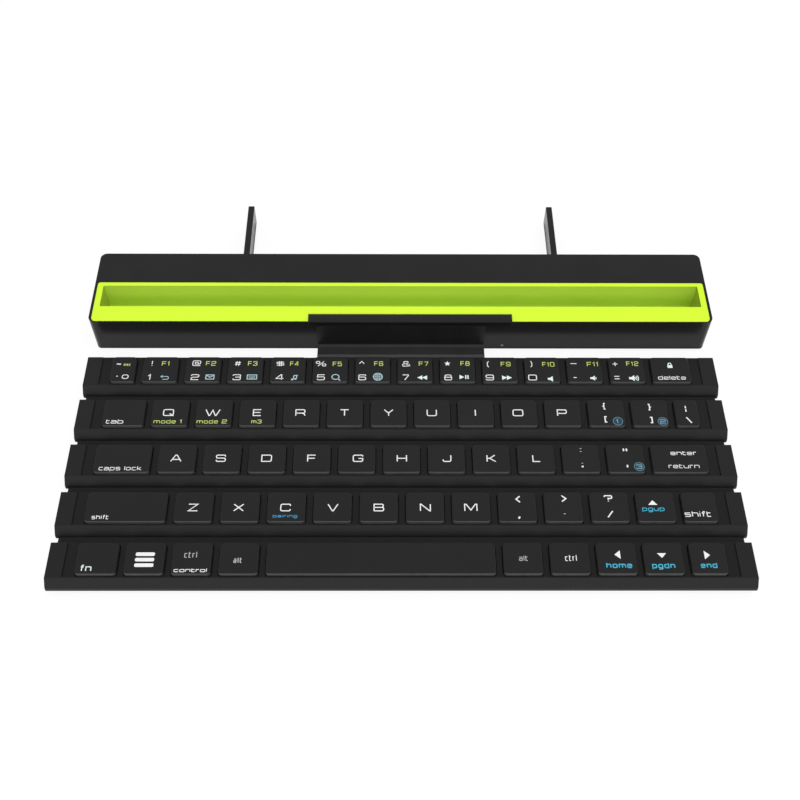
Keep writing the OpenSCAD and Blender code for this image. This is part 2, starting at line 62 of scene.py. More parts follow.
def material(name, dark, light, rough, spec=0.5, grain=0.15, bump=0.02, blotch=14.0, metallic=0.0,
             coat=0.0, rough_var=0.06, stretch=(1, 1, 1), well=None, front=None):
    """A moulded or printed surface: fine grain in mm, slow variation over blotch mm, both procedural."""
    m = bpy.data.materials.new(name)
    m.use_nodes = True
    t = m.node_tree
    bsdf = t.nodes["Principled BSDF"]
    socket(bsdf, "Metallic", metallic)
    socket(bsdf, "Specular IOR Level", spec)
    socket(bsdf, "Coat Weight", coat)
    socket(bsdf, "Coat Roughness", 0.12)
    coords = t.nodes.new("ShaderNodeTexCoord")
    mapping = t.nodes.new("ShaderNodeMapping")
    mapping.inputs["Scale"].default_value = stretch
    t.links.new(coords.outputs["Object"], mapping.inputs["Vector"])

    def noise(size, detail, rough_n=0.5):
        n = t.nodes.new("ShaderNodeTexNoise")
        socket(n, "Scale", 1000.0 / size)
        socket(n, "Detail", detail)
        socket(n, "Roughness", rough_n)
        t.links.new(mapping.outputs["Vector"], n.inputs["Vector"])
        return n

    def ramp(a, b, pos_a, pos_b, source):
        r = t.nodes.new("ShaderNodeValToRGB")
        r.color_ramp.elements[0].position, r.color_ramp.elements[0].color = pos_a, (*a, 1)
        r.color_ramp.elements[1].position, r.color_ramp.elements[1].color = pos_b, (*b, 1)
        t.links.new(source, r.inputs["Fac"])
        return r

    fine = noise(grain, 3.0, 0.6)
    slow = noise(blotch, 4.0)
    mix = t.nodes.new("ShaderNodeMath")
    mix.operation = "MULTIPLY_ADD"
    mix.inputs[1].default_value = 0.35
    t.links.new(fine.outputs["Fac"], mix.inputs[0])
    half = t.nodes.new("ShaderNodeMath")
    half.operation = "MULTIPLY"
    half.inputs[1].default_value = 0.65
    t.links.new(slow.outputs["Fac"], half.inputs[0])
    t.links.new(half.outputs[0], mix.inputs[2])
    colour = ramp(dark, light, 0.32, 0.68, mix.outputs[0])
    shade = colour.outputs["Color"]
    split, facing = t.nodes.new("ShaderNodeSeparateXYZ"), t.nodes.new("ShaderNodeSeparateXYZ")
    t.links.new(coords.outputs["Object"], split.inputs[0])
    t.links.new(coords.outputs["Normal"], facing.inputs[0])

    def compare(source, operation, limit):
        n = t.nodes.new("ShaderNodeMath")
        n.operation = operation
        n.inputs[1].default_value = limit
        t.links.new(source, n.inputs[0])
        return n.outputs[0]

    def tinted(where, colour_there):
        pick = t.nodes.new("ShaderNodeMix")
        pick.data_type = "RGBA"
        t.links.new(where, pick.inputs[0])
        t.links.new(shade, pick.inputs[6])
        pick.inputs[7].default_value = (*colour_there, 1)
        return pick.outputs[2]

    if well:
        # Painted shade: upward faces below a height, down between the keys, are made darker where shade falls
        both = t.nodes.new("ShaderNodeMath")
        both.operation = "MULTIPLY"
        t.links.new(compare(split.outputs["Z"], "LESS_THAN", well[0] * MM), both.inputs[0])
        t.links.new(compare(facing.outputs["Z"], "GREATER_THAN", 0.9), both.inputs[1])
        shade = tinted(both.outputs[0], well[1])
    if front:
        # Painted highlight: faces towards the user get a paler colour that stands in for light from the front
        shade = tinted(compare(facing.outputs["Y"], "LESS_THAN", -0.3), front)
    t.links.new(shade, bsdf.inputs["Base Color"])
    rr = t.nodes.new("ShaderNodeMapRange")
    socket(rr, "From Min", 0.3)
    socket(rr, "From Max", 0.7)
    socket(rr, "To Min", max(0.02, rough - rough_var))
    socket(rr, "To Max", min(1.0, rough + rough_var))
    t.links.new(mix.outputs[0], rr.inputs["Value"])
    t.links.new(rr.outputs["Result"], bsdf.inputs["Roughness"])
    b = t.nodes.new("ShaderNodeBump")
    socket(b, "Strength", 0.6)
    socket(b, "Distance", bump * MM)
    t.links.new(fine.outputs["Fac"], b.inputs["Height"])
    t.links.new(b.outputs["Normal"], bsdf.inputs["Normal"])
    return m


BLACK = ((0.0086, 0.0086, 0.0090), (0.0110, 0.0110, 0.0114))
MATS = {
    # bar_black: painted highlight on its faces towards the user
    "bar_black": material("bar_black", *BLACK, rough=0.17, spec=0.165, grain=0.12, bump=0.002, rough_var=0.03,
                          front=(0.0160,) * 3),
    "base_black": material("base_black", (0.006,) * 3, (0.010,) * 3, rough=0.48, spec=0.3, grain=0.25, bump=0.02),
    "tray_lime": material("tray_lime", (0.640, 0.92, 0.030), (0.675, 0.96, 0.040), rough=0.38, spec=0.2,
                          grain=0.2, bump=0.004, blotch=30),
    "clamp_black": material("clamp_black", *BLACK, rough=0.24, spec=0.165, grain=0.15, bump=0.003),
    "band_black": material("band_black", (0.0105,) * 3, (0.0145,) * 3, rough=0.42, spec=0.16, grain=0.35,
                           bump=0.02, blotch=9),
    "battery_foil": material("battery_foil", (0.42, 0.44, 0.47), (0.55, 0.57, 0.60), rough=0.35, metallic=0.9,
                             grain=0.6, bump=0.03, blotch=6),
    "circuit_board": material("circuit_board", (0.004, 0.06, 0.025), (0.012, 0.12, 0.05), rough=0.4,
                              grain=0.5, bump=0.02, blotch=3, coat=0.4),
    "socket_steel": material("socket_steel", (0.50, 0.50, 0.50), (0.62, 0.62, 0.62), rough=0.28, metallic=1.0,
                             grain=0.1, bump=0.003, stretch=(0.2, 1, 1)),
    "led_teal": material("led_teal", (0.12, 0.25, 0.225), (0.16, 0.31, 0.28), rough=0.2, grain=0.1, bump=0.002,
                         blotch=1, coat=0.5),
    "foot_rubber": material("foot_rubber", (0.010,) * 3, (0.018,) * 3, rough=0.75, spec=0.3, grain=0.3, bump=0.04),
    "screw_steel": material("screw_steel", (0.18, 0.18, 0.19), (0.28, 0.28, 0.29), rough=0.32, metallic=1.0,
                            grain=0.08, bump=0.004, blotch=2),
    "pin_steel": material("pin_steel", (0.45, 0.45, 0.46), (0.58, 0.58, 0.59), rough=0.25, metallic=1.0,
                          grain=0.06, bump=0.002, stretch=(1, 1, 0.15)),
    "leg_black": material("leg_black", *BLACK, rough=0.22, spec=0.17, grain=0.12, bump=0.002),
    "row_base_black": material("row_base_black", (0.008,) * 3, (0.012,) * 3, rough=0.5, spec=0.2, grain=0.25,
                               bump=0.02),
    # row_black: painted shade in the wells between the keys, and a painted highlight on faces towards the user
    "row_black": material("row_black", *BLACK, rough=0.34, spec=0.165, grain=0.16, bump=0.006,
                          well=(8.85, (0.0050, 0.0050, 0.0052)), front=(0.0180,) * 3),
    "dome_silicone": material("dome_silicone", (0.50, 0.50, 0.47), (0.62, 0.62, 0.59), rough=0.6, grain=0.4,
                              bump=0.02),
    "strip_rubber": material("strip_rubber", (0.009,) * 3, (0.013,) * 3, rough=0.6, spec=0.18, grain=0.4,
                             bump=0.03),
    "key_black": material("key_black", (0.0088, 0.0088, 0.0091), (0.0110, 0.0110, 0.0113), rough=0.36,
                          spec=0.165, grain=0.14, bump=0.006, blotch=22),
}
# Lit and shaded copies of the mouldings, for some of their faces only: painted highlights and painted shade
# Painted highlight on the keys' front faces and front rounding
KEY_FRONT_HIGHLIGHT = material("key_edge", (0.058,) * 3, (0.074,) * 3, rough=0.30, spec=0.2, grain=0.3, bump=0.004, blotch=6)
# Painted light: the caps' sides paler than their black, against the shade between the keys
KEY_SIDE_LIT = material("key_side", (0.020,) * 3, (0.026,) * 3, rough=0.36, spec=0.2, grain=0.2, bump=0.005, blotch=10)
# Painted light: the band's lying part paler than its black
BAND_FLAT_LIT = material("band_flat_lit", (0.026,) * 3, (0.033,) * 3, rough=0.45, spec=0.2, grain=0.35, bump=0.02, blotch=9)
# Painted highlight along the band's rib
BAND_RIB_HIGHLIGHT = material("band_rib_highlight", (0.058,) * 3, (0.072,) * 3, rough=0.45, spec=0.2, grain=0.35, bump=0.02, blotch=9)
# Painted highlight on the clamp's front lip
CLAMP_LIP_HIGHLIGHT = material("clamp_lip_highlight", (0.044,) * 3, (0.052,) * 3, rough=0.24, spec=0.165, grain=0.15, bump=0.003)
# Painted shade on the slot's walls and floor, darker than the rim
SLOT_WALL_SHADE = material("slot_wall_shade", (0.54, 0.74, 0.080), (0.58, 0.78, 0.092), rough=0.42, spec=0.2, grain=0.2,
                          bump=0.004, blotch=30)
# Painted shade on the slot's end walls, darker still
SLOT_END_SHADE = material("slot_end_shade", (0.40, 0.50, 0.055), (0.44, 0.54, 0.065), rough=0.42, spec=0.2, grain=0.2,
                         bump=0.004, blotch=30)
PRINT_SHADES = {
    "white": ((0.80, 0.80, 0.80), (0.90, 0.90, 0.90)),
    "grey": ((0.38, 0.38, 0.38), (0.46, 0.46, 0.46)),
    "green": ((0.46, 0.57, 0.13), (0.54, 0.66, 0.16)),
    "cyan": ((0.40, 0.56, 0.62), (0.48, 0.65, 0.70)),
    "mist": ((0.70, 0.82, 0.81), (0.80, 0.92, 0.90)),
    "blue": ((0.045, 0.36, 0.52), (0.065, 0.44, 0.62)),
    "steel_blue": ((0.020, 0.20, 0.36), (0.030, 0.26, 0.44)),
    "ring_blue": ((0.075, 0.155, 0.21), (0.095, 0.19, 0.25)),
    "pale_blue": ((0.17, 0.30, 0.38), (0.21, 0.36, 0.45)),
    "deep_blue": ((0.005, 0.034, 0.056), (0.008, 0.046, 0.072)),
}
PRINTS = {shade: material("print_" + shade, dark, light, rough=0.45, spec=0.3, grain=0.2, bump=0.004, blotch=8)
          for shade, (dark, light) in PRINT_SHADES.items()}


# ---------------------------------------------------------------- mesh helpers
def loft(bm, rings, closed=True, caps=True):
    """Faces between rings of points; each ring is closed unless told otherwise."""
    made = [[bm.verts.new(p) for p in ring] for ring in rings]
    n = len(made[0])
    for a, b in zip(made, made[1:]):
        for i in range(n if closed else n - 1):
            j = (i + 1) % n
            bm.faces.new((a[i], a[j], b[j], b[i]))
    if caps:
        bm.faces.new(list(reversed(made[0])))
        bm.faces.new(made[-1])
    return made


def outline(w, d, r, steps=4, cx=0.0, cy=0.0):
    """Corner-rounded rectangle, counter-clockwise."""
    points = []
    for qx, qy, start in ((1, 1, 0), (-1, 1, 90), (-1, -1, 180), (1, -1, 270)):
        for i in range(steps + 1):
            a = math.radians(start + 90 * i / steps)
            points.append((cx + qx * (w / 2 - r) + r * math.cos(a), cy + qy * (d / 2 - r) + r * math.sin(a)))
    return points


def at_z(points, z):
    return [(x, y, z) for x, y in points]


def fillet_levels(radius, z, steps=4, up=True):
    """(inset, height) pairs of a rounded edge that ends at height z."""
    levels = []
    for i in range(steps + 1):
        a = math.pi / 2 * i / steps
        drop = radius * (1 - math.sin(a))
        levels.append((radius * (1 - math.cos(a)), z - drop if up else z + drop))
    return levels


def solid(bm, w, d, r, z0, z1, top=0.3, bottom=0.2, cx=0.0, cy=0.0, steps=4):
    """Upright block with rounded corners and rounded edges."""
    rings = []
    for inset, z in reversed(fillet_levels(bottom, z0, 2, up=False)):
        rings.append(at_z(outline(w - 2 * inset, d - 2 * inset, max(r - inset, 0.05), steps, cx, cy), z))
    for inset, z in fillet_levels(top, z1, 3):
        rings.append(at_z(outline(w - 2 * inset, d - 2 * inset, max(r - inset, 0.05), steps, cx, cy), z))
    loft(bm, rings)


def prism(bm, points, z0, z1):
    loft(bm, [at_z(points, z0), at_z(points, z1)])


def piece(name, bm, body, mat, smooth=32.0, replaces=(), blend=None, accents=()):
    """Makes the object from a bmesh in mm and puts it on its body, or with a blend given leaves it on no body; accents
    are (material, test of a face).
    """
    bmesh.ops.recalc_face_normals(bm, faces=bm.faces)
    bm.normal_update()
    for i, (_, test) in enumerate(accents):
        for f in bm.faces:
            if not f.material_index and test(f):
                f.material_index = i + 1
    mesh = bpy.data.meshes.new(name)
    bm.to_mesh(mesh)
    bm.free()
    mesh.transform(Matrix.Scale(MM, 4))
    mesh.shade_smooth()
    mesh.set_sharp_from_angle(angle=math.radians(smooth))
    for m in (mat, *(a[0] for a in accents)):
        mesh.materials.append(m)
    o = bpy.data.objects.new(name, mesh)
    bpy.context.scene.collection.objects.link(o)
    if blend:
        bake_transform(o)
    else:
        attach(o, body)
    if replaces:
        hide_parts(*replaces)
    return o


def soften(name, width=0.2, segments=2):
    """Rounded edges on a CAD node, by modifiers only."""
    o = NODES[name]
    weld = o.modifiers.new("weld", "WELD")
    weld.merge_threshold = 0.002 * MM
    flat = o.modifiers.new("flat", "DECIMATE")
    flat.decimate_type = "DISSOLVE"
    flat.angle_limit = math.radians(0.3)
    bevel = o.modifiers.new("bevel", "BEVEL")
    bevel.width = width * MM
    bevel.segments = segments
    bevel.limit_method = "ANGLE"
    bevel.angle_limit = math.radians(35)
    normals = o.modifiers.new("normals", "WEIGHTED_NORMAL")
    normals.keep_sharp = False


# ---------------------------------------------------------------- CAD nodes that stay
for obj in NODES.values():
    slots = obj.data.materials
    mat = MATS[slots[0].name.split(".")[0]]
    for i in range(len(slots)):
        slots[i] = mat
SOFT_EDGES = {"bar_housing": 0.35, "bar_base_cover": 0.12, "left_leg": 0.3, "right_leg": 0.3}
for k in range(1, 6):
    SOFT_EDGES["row_%d_frame" % k] = 0.14
    SOFT_EDGES["row_%d_base" % k] = 0.2
for node, width in SOFT_EDGES.items():
    soften(node, width)

# ---------------------------------------------------------------- keys
ROWS = [
    [("esc_key", -117.7, 10.2)] + [("digit_keys", -102.1 + 18 * i, 15.0) for i in range(12)]
    + [("delete_key", 114.6, 16.4)],
    [("tab_key", -114.3, 17.0)] + [("upper_letter_keys", -95.3 + 18 * i, 15.0) for i in range(12)]
    + [("backslash_key", 118.0, 9.6)],
    [("caps_lock_key", -111.65, 22.3)] + [("home_letter_keys", -90.0 + 18 * i, 15.0) for i in range(11)]
    + [("enter_key", 111.65, 22.3)],
    [("left_shift_key", -107.15, 31.3)] + [("lower_letter_keys", -81.0 + 18 * i, 15.0) for i in range(10)]
    + [("up_key", 99.0, 15.0), ("right_shift_key", 116.15, 13.3)],
    [("fn_key", -115.1, 15.4), ("menu_key", -97.15, 15.0), ("left_ctrl_key", -79.4, 15.0),
     ("left_alt_key", -61.65, 15.0), ("space_bar", -7.975, 86.85), ("right_alt_key", 45.7, 15.0),
     ("right_ctrl_key", 63.45, 15.0), ("left_key", 81.2, 15.0), ("down_key", 98.95, 15.0),
     ("right_key", 116.0, 13.6)],
]


def keycap(bm, cx, cy, w):
    """Hollow cap with rounded top edge, flanges that hold it under the plate, and its plunger."""
    rings = [at_z(outline(w - 2.2, KEY_D - 2.2, 0.5, 5, cx, cy), 9.15),
             at_z(outline(w - 2.2, KEY_D - 2.2, 0.5, 5, cx, cy), FLANGE_Z),
             at_z(outline(w, KEY_D, KEY_R, 5, cx, cy), FLANGE_Z)]
    for inset, z in fillet_levels(0.5, KEY_TOP, 4):
        rings.append(at_z(outline(w - 2 * inset, KEY_D - 2 * inset, KEY_R - inset, 5, cx, cy), z))
    rings.append(at_z(outline(w - 2.4, KEY_D - 2.4, 0.6, 5, cx, cy), KEY_TOP))
    loft(bm, rings)
    for side in (-1, 1):
        solid(bm, 0.9, KEY_D - 2 * KEY_R, 0.15, FLANGE_Z, FLANGE_Z + 0.8, 0.1, 0.1,
              cx + side * (w / 2 + 0.25), cy, 2)
    solid(bm, 3.6, 3.6, 1.79, FLANGE_Z, 9.2, 0.1, 0.2, cx, cy, 4)


KEY_PLACES, KEY_ROW = {}, {}
for k, row in enumerate(ROWS):
    for node, x, w in row:
        KEY_PLACES.setdefault(node, []).append((x, ROW_Y[k] - KEY_MID, w))
        KEY_ROW[node] = k
for node, places in KEY_PLACES.items():
    bm = bmesh.new()
    for x, y, w in places:
        keycap(bm, x, y, w)
    piece(node.replace("_keys", "").replace("_key", "") + "_caps", bm, node, MATS["key_black"],
          replaces=(node,),
          # Painted highlight on the caps' fronts, painted light on their sides
          accents=((KEY_FRONT_HIGHLIGHT, lambda f: f.normal.y < -0.45 and f.calc_center_median().z > 7.8),
                   (KEY_SIDE_LIT, lambda f: abs(f.normal.z) < 0.6 and f.calc_center_median().z > 7.8)))

# ---------------------------------------------------------------- legends: a stroke alphabet
# Each glyph: width as a share of cap height, then paths; a path is closed after *, and r rounds a corner.
GLYPHS = {
    "A": (1.38, "0,0 .43,1 .57,1 1,0/.2,.3 .8,.3"), "B": (1.25, "0,0 0,1 .95,1r .95,.52r 0,.52/.5,.52 1,.52r 1,0r 0,0"),
    "C": (1.25, "1,.75 1,1r 0,1r 0,0r 1,0r 1,.25"), "D": (1.3, "*0,0 0,1 1,1r 1,0r"),
    "E": (1.05, "1,1 0,1 0,0 1,0/0,.52 .92,.52"), "F": (1.05, "1,1 0,1 0,0/0,.5 .9,.5"),
    "G": (1.28, "1,.78 1,1r 0,1r 0,0r 1,0r 1,.48 .55,.48"), "H": (1.25, "0,0 0,1/1,0 1,1/0,.5 1,.5"),
    "I": (0.0, "0,0 0,1"), "J": (1.05, "1,1 1,0r 0,0r 0,.32"), "K": (1.15, "0,0 0,1/.92,1 .3,.5 1,0/0,.5 .3,.5"),
    "L": (0.95, "0,1 0,0 1,0"), "M": (1.6, "0,0 0,1 .12,1 .5,.12 .88,1 1,1 1,0"),
    "N": (1.3, "0,0 0,1 .08,1 .92,0 1,0 1,1"),
    "O": (1.36, "*0,0r 0,1r 1,1r 1,0r"), "P": (1.25, "0,0 0,1 1,1r 1,.4r 0,.4"),
    "Q": (1.36, "*0,0r 0,1r 1,1r 1,0r/.62,.34 1.04,-.06"), "R": (1.25, "0,0 0,1 1,1r 1,.42r 0,.42/.7,.42 1,.25r 1,0"),
    "S": (1.22, "1,.76 1,1r 0,1r 0,.52r 1,.52r 1,0r 0,0r 0,.24"), "T": (1.15, "0,1 1,1/.5,1 .5,0"),
    "U": (1.28, "0,1 0,0r 1,0r 1,1"), "V": (1.3, "0,1 .46,0 .54,0 1,1"),
    "W": (1.95, "0,1 .25,0 .3,0 .5,.9 .7,0 .75,0 1,1"),
    "X": (1.25, "0,0 1,1/0,1 1,0"), "Y": (1.2, "0,1 .5,.45 1,1/.5,.45 .5,0"), "Z": (1.2, "0,1 1,1 0,0 1,0"),
    "0": (1.28, "*0,0r 0,1r 1,1r 1,0r"), "1": (0.4, "0,.72 .75,1 .75,0"),
    "2": (1.2, "0,.75 0,1r 1,1r 1,.52r 0,.46r 0,0 1,0"),
    "3": (1.15, "0,.78 0,1r 1,1r 1,.52r .3,.52/.7,.52 1,.52r 1,0r 0,0r 0,.22"),
    "4": (1.2, "1,.25 0,.25 .62,1 .76,1 .76,0"),
    "5": (1.15, "1,1 .06,1 0,.56 1,.6r 1,0r 0,0r 0,.2"), "6": (1.15, "1,.8 1,1r 0,1r 0,0r 1,0r 1,.56r 0,.56"),
    "7": (1.0, "0,1 1,1 1,.85 .35,0"), "8": (1.15, ".06,.54 .06,1r .94,1r .94,.54/*0,.54 1,.54 1,0r 0,0r"),
    "9": (1.15, "0,.2 0,0r 1,0r 1,1r 0,1r 0,.44r 1,.44"),
    "a": (0.95, "0,.72 1,.72r 1,0/1,.4 0,.4r 0,0r 1,0"), "b": (0.95, "0,1 0,0 1,0r 1,.72r 0,.72"),
    "c": (0.85, "1,.72 0,.72r 0,0r 1,0"), "d": (0.95, "1,1 1,0 0,0r 0,.72r 1,.72"),
    "e": (0.95, "0,.36 1,.36 1,.72r 0,.72r 0,0r 1,0"), "f": (0.55, "1,1 .4,1r .4,0/0,.7 1,.7"),
    "g": (0.95, "1,0 0,0r 0,.72r 1,.72/1,.72 1,-.3r 0,-.3"), "h": (0.95, "0,1 0,0/0,.72 1,.72r 1,0"),
    "i": (0.0, "0,.72 0,0/0,.9 0,1"), "k": (0.85, "0,1 0,0/.9,.72 .2,.36 1,0"), "l": (0.0, "0,1 0,0"),
    "m": (1.5, "0,0 0,.72 1,.72r 1,0/.5,.72 .5,0"), "n": (0.95, "0,0 0,.72 1,.72r 1,0"),
    "o": (0.95, "*0,0r 0,.72r 1,.72r 1,0r"), "p": (0.95, "0,-.3 0,.72 1,.72r 1,0r 0,0"),
    "r": (0.6, "0,0 0,.72 1,.72"), "s": (0.9, "1,.72 0,.72r 0,.38r 1,.38r 1,0r 0,0"),
    "t": (0.6, "0,1 0,0r 1,0/0,.72 .95,.72"), "u": (0.95, "0,.72 0,0r 1,0/1,.72 1,0"),
    " ": (0.35, ""),
    "!": (0.0, "0,1 0,.35/0,.12 0,0"), "@": (1.3, "1,0 0,0r 0,1r 1,1r 1,.3r .72,.3 .72,.7r .3,.7r .3,.3r .72,.3"),
    "#": (1.1, "0,.3 .95,.3/.05,.7 1,.7/.22,0 .36,1/.64,0 .78,1"),
    "$": (1.2, "1,.82 0,.82r 0,.5r 1,.5r 1,.18r 0,.18/.36,1 .36,0/.64,1 .64,0"),
    "%": (1.5, "*0,.55r 0,1r .36,1r .36,.55r/*.64,0r .64,.45r 1,.45r 1,0r/.2,0 .8,1"),
    "^": (0.8, "0,.45 .5,1 1,.45"), "&": (1.3, "1,0 .16,.72r .16,1r .72,1r .72,.66r 0,.42r 0,0r .78,0r .92,.42"),
    "(": (0.35, "1,1 0,.8 0,.2 1,0"), ")": (0.35, "0,1 1,.8 1,.2 0,0"),
    "_": (1.0, "0,.5 1,.5"), "+": (0.9, "0,.5 1,.5/.5,0 .5,1"), "~": (0.9, "0,.4 .25,.6 .75,.4 1,.6"),
    "-": (0.6, "0,.5 1,.5"), "=": (0.8, "0,.25 1,.25/0,.75 1,.75"),
    "{": (0.32, "1,1 .4,1 .4,.55 0,.5 .4,.45 .4,0 1,0"), "}": (0.32, "0,1 .6,1 .6,.55 1,.5 .6,.45 .6,0 0,0"),
    "[": (0.28, "1,1 0,1 0,0 1,0"), "]": (0.28, "0,1 1,1 1,0 0,0"), "|": (0.0, "0,1 0,.58/0,.42 0,0"),
    "\\": (0.55, "0,1 1,0"), "/": (0.55, "0,0 1,1"), ":": (0.0, "0,.86 0,.80/0,.20 0,.14"),
    ";": (0.2, "1,.86 1,.80/1,.2 1,.1 .3,-.15"), "\"": (0.35, "0,1 0,.6/1,1 1,.6"), "'": (0.0, "0,1 0,.6"),
    "<": (0.6, "1,1 0,.5 1,0"), ">": (0.6, "0,1 1,.5 0,0"),
    "?": (1.0, "0,.78 0,1r 1,1r 1,.52r .5,.52 .5,.3/.5,.12 .5,0"),
    ",": (0.2, "1,.3 1,.15 .2,-.1"), ".": (0.0, "0,.4 0,.3"),
}
PRINT_RISE = 0.02


def path_points(text, sx, sy, radius):
    """Points of one path in mm, with its r corners rounded, and whether it is closed."""
    closed = text.startswith("*")
    raw = []
    for word in text.lstrip("*").split():
        rounded = word.endswith("r")
        x, y = word.rstrip("r").split(",")
        raw.append((Vector((float(x) * sx, float(y) * sy)), rounded))
    out = []
    n = len(raw)
    for i, (p, rounded) in enumerate(raw):
        if not rounded or (not closed and i in (0, n - 1)):
            out.append(p)
            continue
        a, b = raw[i - 1][0], raw[(i + 1) % n][0]
        share_a = 0.5 if raw[i - 1][1] else 1.0
        share_b = 0.5 if raw[(i + 1) % n][1] else 1.0
        reach = min(radius, (a - p).length * share_a * 0.98, (b - p).length * share_b * 0.98)
        start, end = p + (a - p).normalized() * reach, p + (b - p).normalized() * reach
        for j in range(5):
            t = j / 4
            q = start * (1 - t) ** 2 + p * 2 * t * (1 - t) + end * t * t
            # Pulled a little towards the corner, so that the arc is close to a circle's
            out.append(q.lerp(p, 0.17 * math.sin(math.pi * t)))
    clean = [out[0]]
    for p in out[1:]:
        if (p - clean[-1]).length > 1e-4:
            clean.append(p)
    if closed and (clean[0] - clean[-1]).length < 1e-4:
        clean.pop()
    return clean, closed


def stroke(bm, points, closed, width, ox, oy, z):
    """A flat printed line of that width along the points, a closed solid that stands on the key."""
    n = len(points)
    sections = []
    for i, p in enumerate(points):
        before = points[i - 1] if i or closed else None
        after = points[(i + 1) % n] if i < n - 1 or closed else None
        d_in = (p - before).normalized() if before is not None else None
        d_out = (after - p).normalized() if after is not None else None
        d_in = d_in or d_out
        d_out = d_out or d_in
        normal = Vector((-(d_in.y + d_out.y), d_in.x + d_out.x))
        if normal.length < 1e-6:
            normal = Vector((-d_in.y, d_in.x))
        normal.normalize()
        scale = 1 / max(0.45, normal.dot(Vector((-d_in.y, d_in.x))))
        off = normal * (width / 2 * scale)
        l, r = p + off, p - off
        sections.append([(ox + l.x, oy + l.y, z + PRINT_RISE), (ox + r.x, oy + r.y, z + PRINT_RISE),
                         (ox + r.x, oy + r.y, z - 0.03), (ox + l.x, oy + l.y, z - 0.03)])
    if closed:
        made = [[bm.verts.new(q) for q in s] for s in sections]
        for i in range(n):
            a, b = made[i], made[(i + 1) % n]
            for j in range(4):
                bm.faces.new((a[j], a[(j + 1) % 4], b[(j + 1) % 4], b[j]))
    else:
        loft(bm, sections)


def write(bm, text, cx, cy, height, z, width=None, weight=0.5, gap=0.42):
    """Text centred on (cx, cy). height is the capitals' outside height; width the whole outside width."""
    h = height - weight
    sizes = [GLYPHS[c][0] * h for c in text]
    space = weight + gap * height * 0.42
    total = sum(sizes) + space * (len(text) - 1) + weight
    squeeze = 1.0
    if width:
        squeeze = (width - weight - space * (len(text) - 1)) / max(total - weight - space * (len(text) - 1), 0.01)
        squeeze = max(squeeze, 0.3)
    used = sum(sizes) * squeeze + space * (len(text) - 1)
    x = cx - used / 2
    for c, size in zip(text, sizes):
        w = size * squeeze
        for i, path in enumerate(GLYPHS[c][1].split("/")):
            if path:
                points, closed = path_points(path, w, h, 0.3 * min(h, max(w, 0.1)))
                # Crossing strokes end at heights of their own, so that no two faces coincide
                stroke(bm, points, closed, weight, x, cy - h / 2, z + 0.004 * i)
        x += w + space


# ---------------------------------------------------------------- icons
def line(bm, cx, cy, points, z, weight=0.4, closed=False):
    stroke(bm, [Vector(p) for p in points], closed, weight, cx, cy, z)


def blob(bm, cx, cy, points, z):
    prism(bm, [(cx + x, cy + y) for x, y in points], z - 0.03, z + PRINT_RISE)


def ring_points(r, n=20, start=0.0, sweep=360.0):
    m = n if sweep >= 360 else n + 1
    return [(r * math.cos(math.radians(start + sweep * i / n)), r * math.sin(math.radians(start + sweep * i / n)))
            for i in range(m)]


def triangle(bm, cx, cy, w, h, way, z):
    shape = {"up": [(-w / 2, -h / 2), (w / 2, -h / 2), (0, h / 2)],
             "down": [(-w / 2, h / 2), (0, -h / 2), (w / 2, h / 2)],
             "left": [(w / 2, -h / 2), (w / 2, h / 2), (-w / 2, 0)],
             "right": [(-w / 2, h / 2), (-w / 2, -h / 2), (w / 2, 0)]}
    blob(bm, cx, cy, shape[way], z)


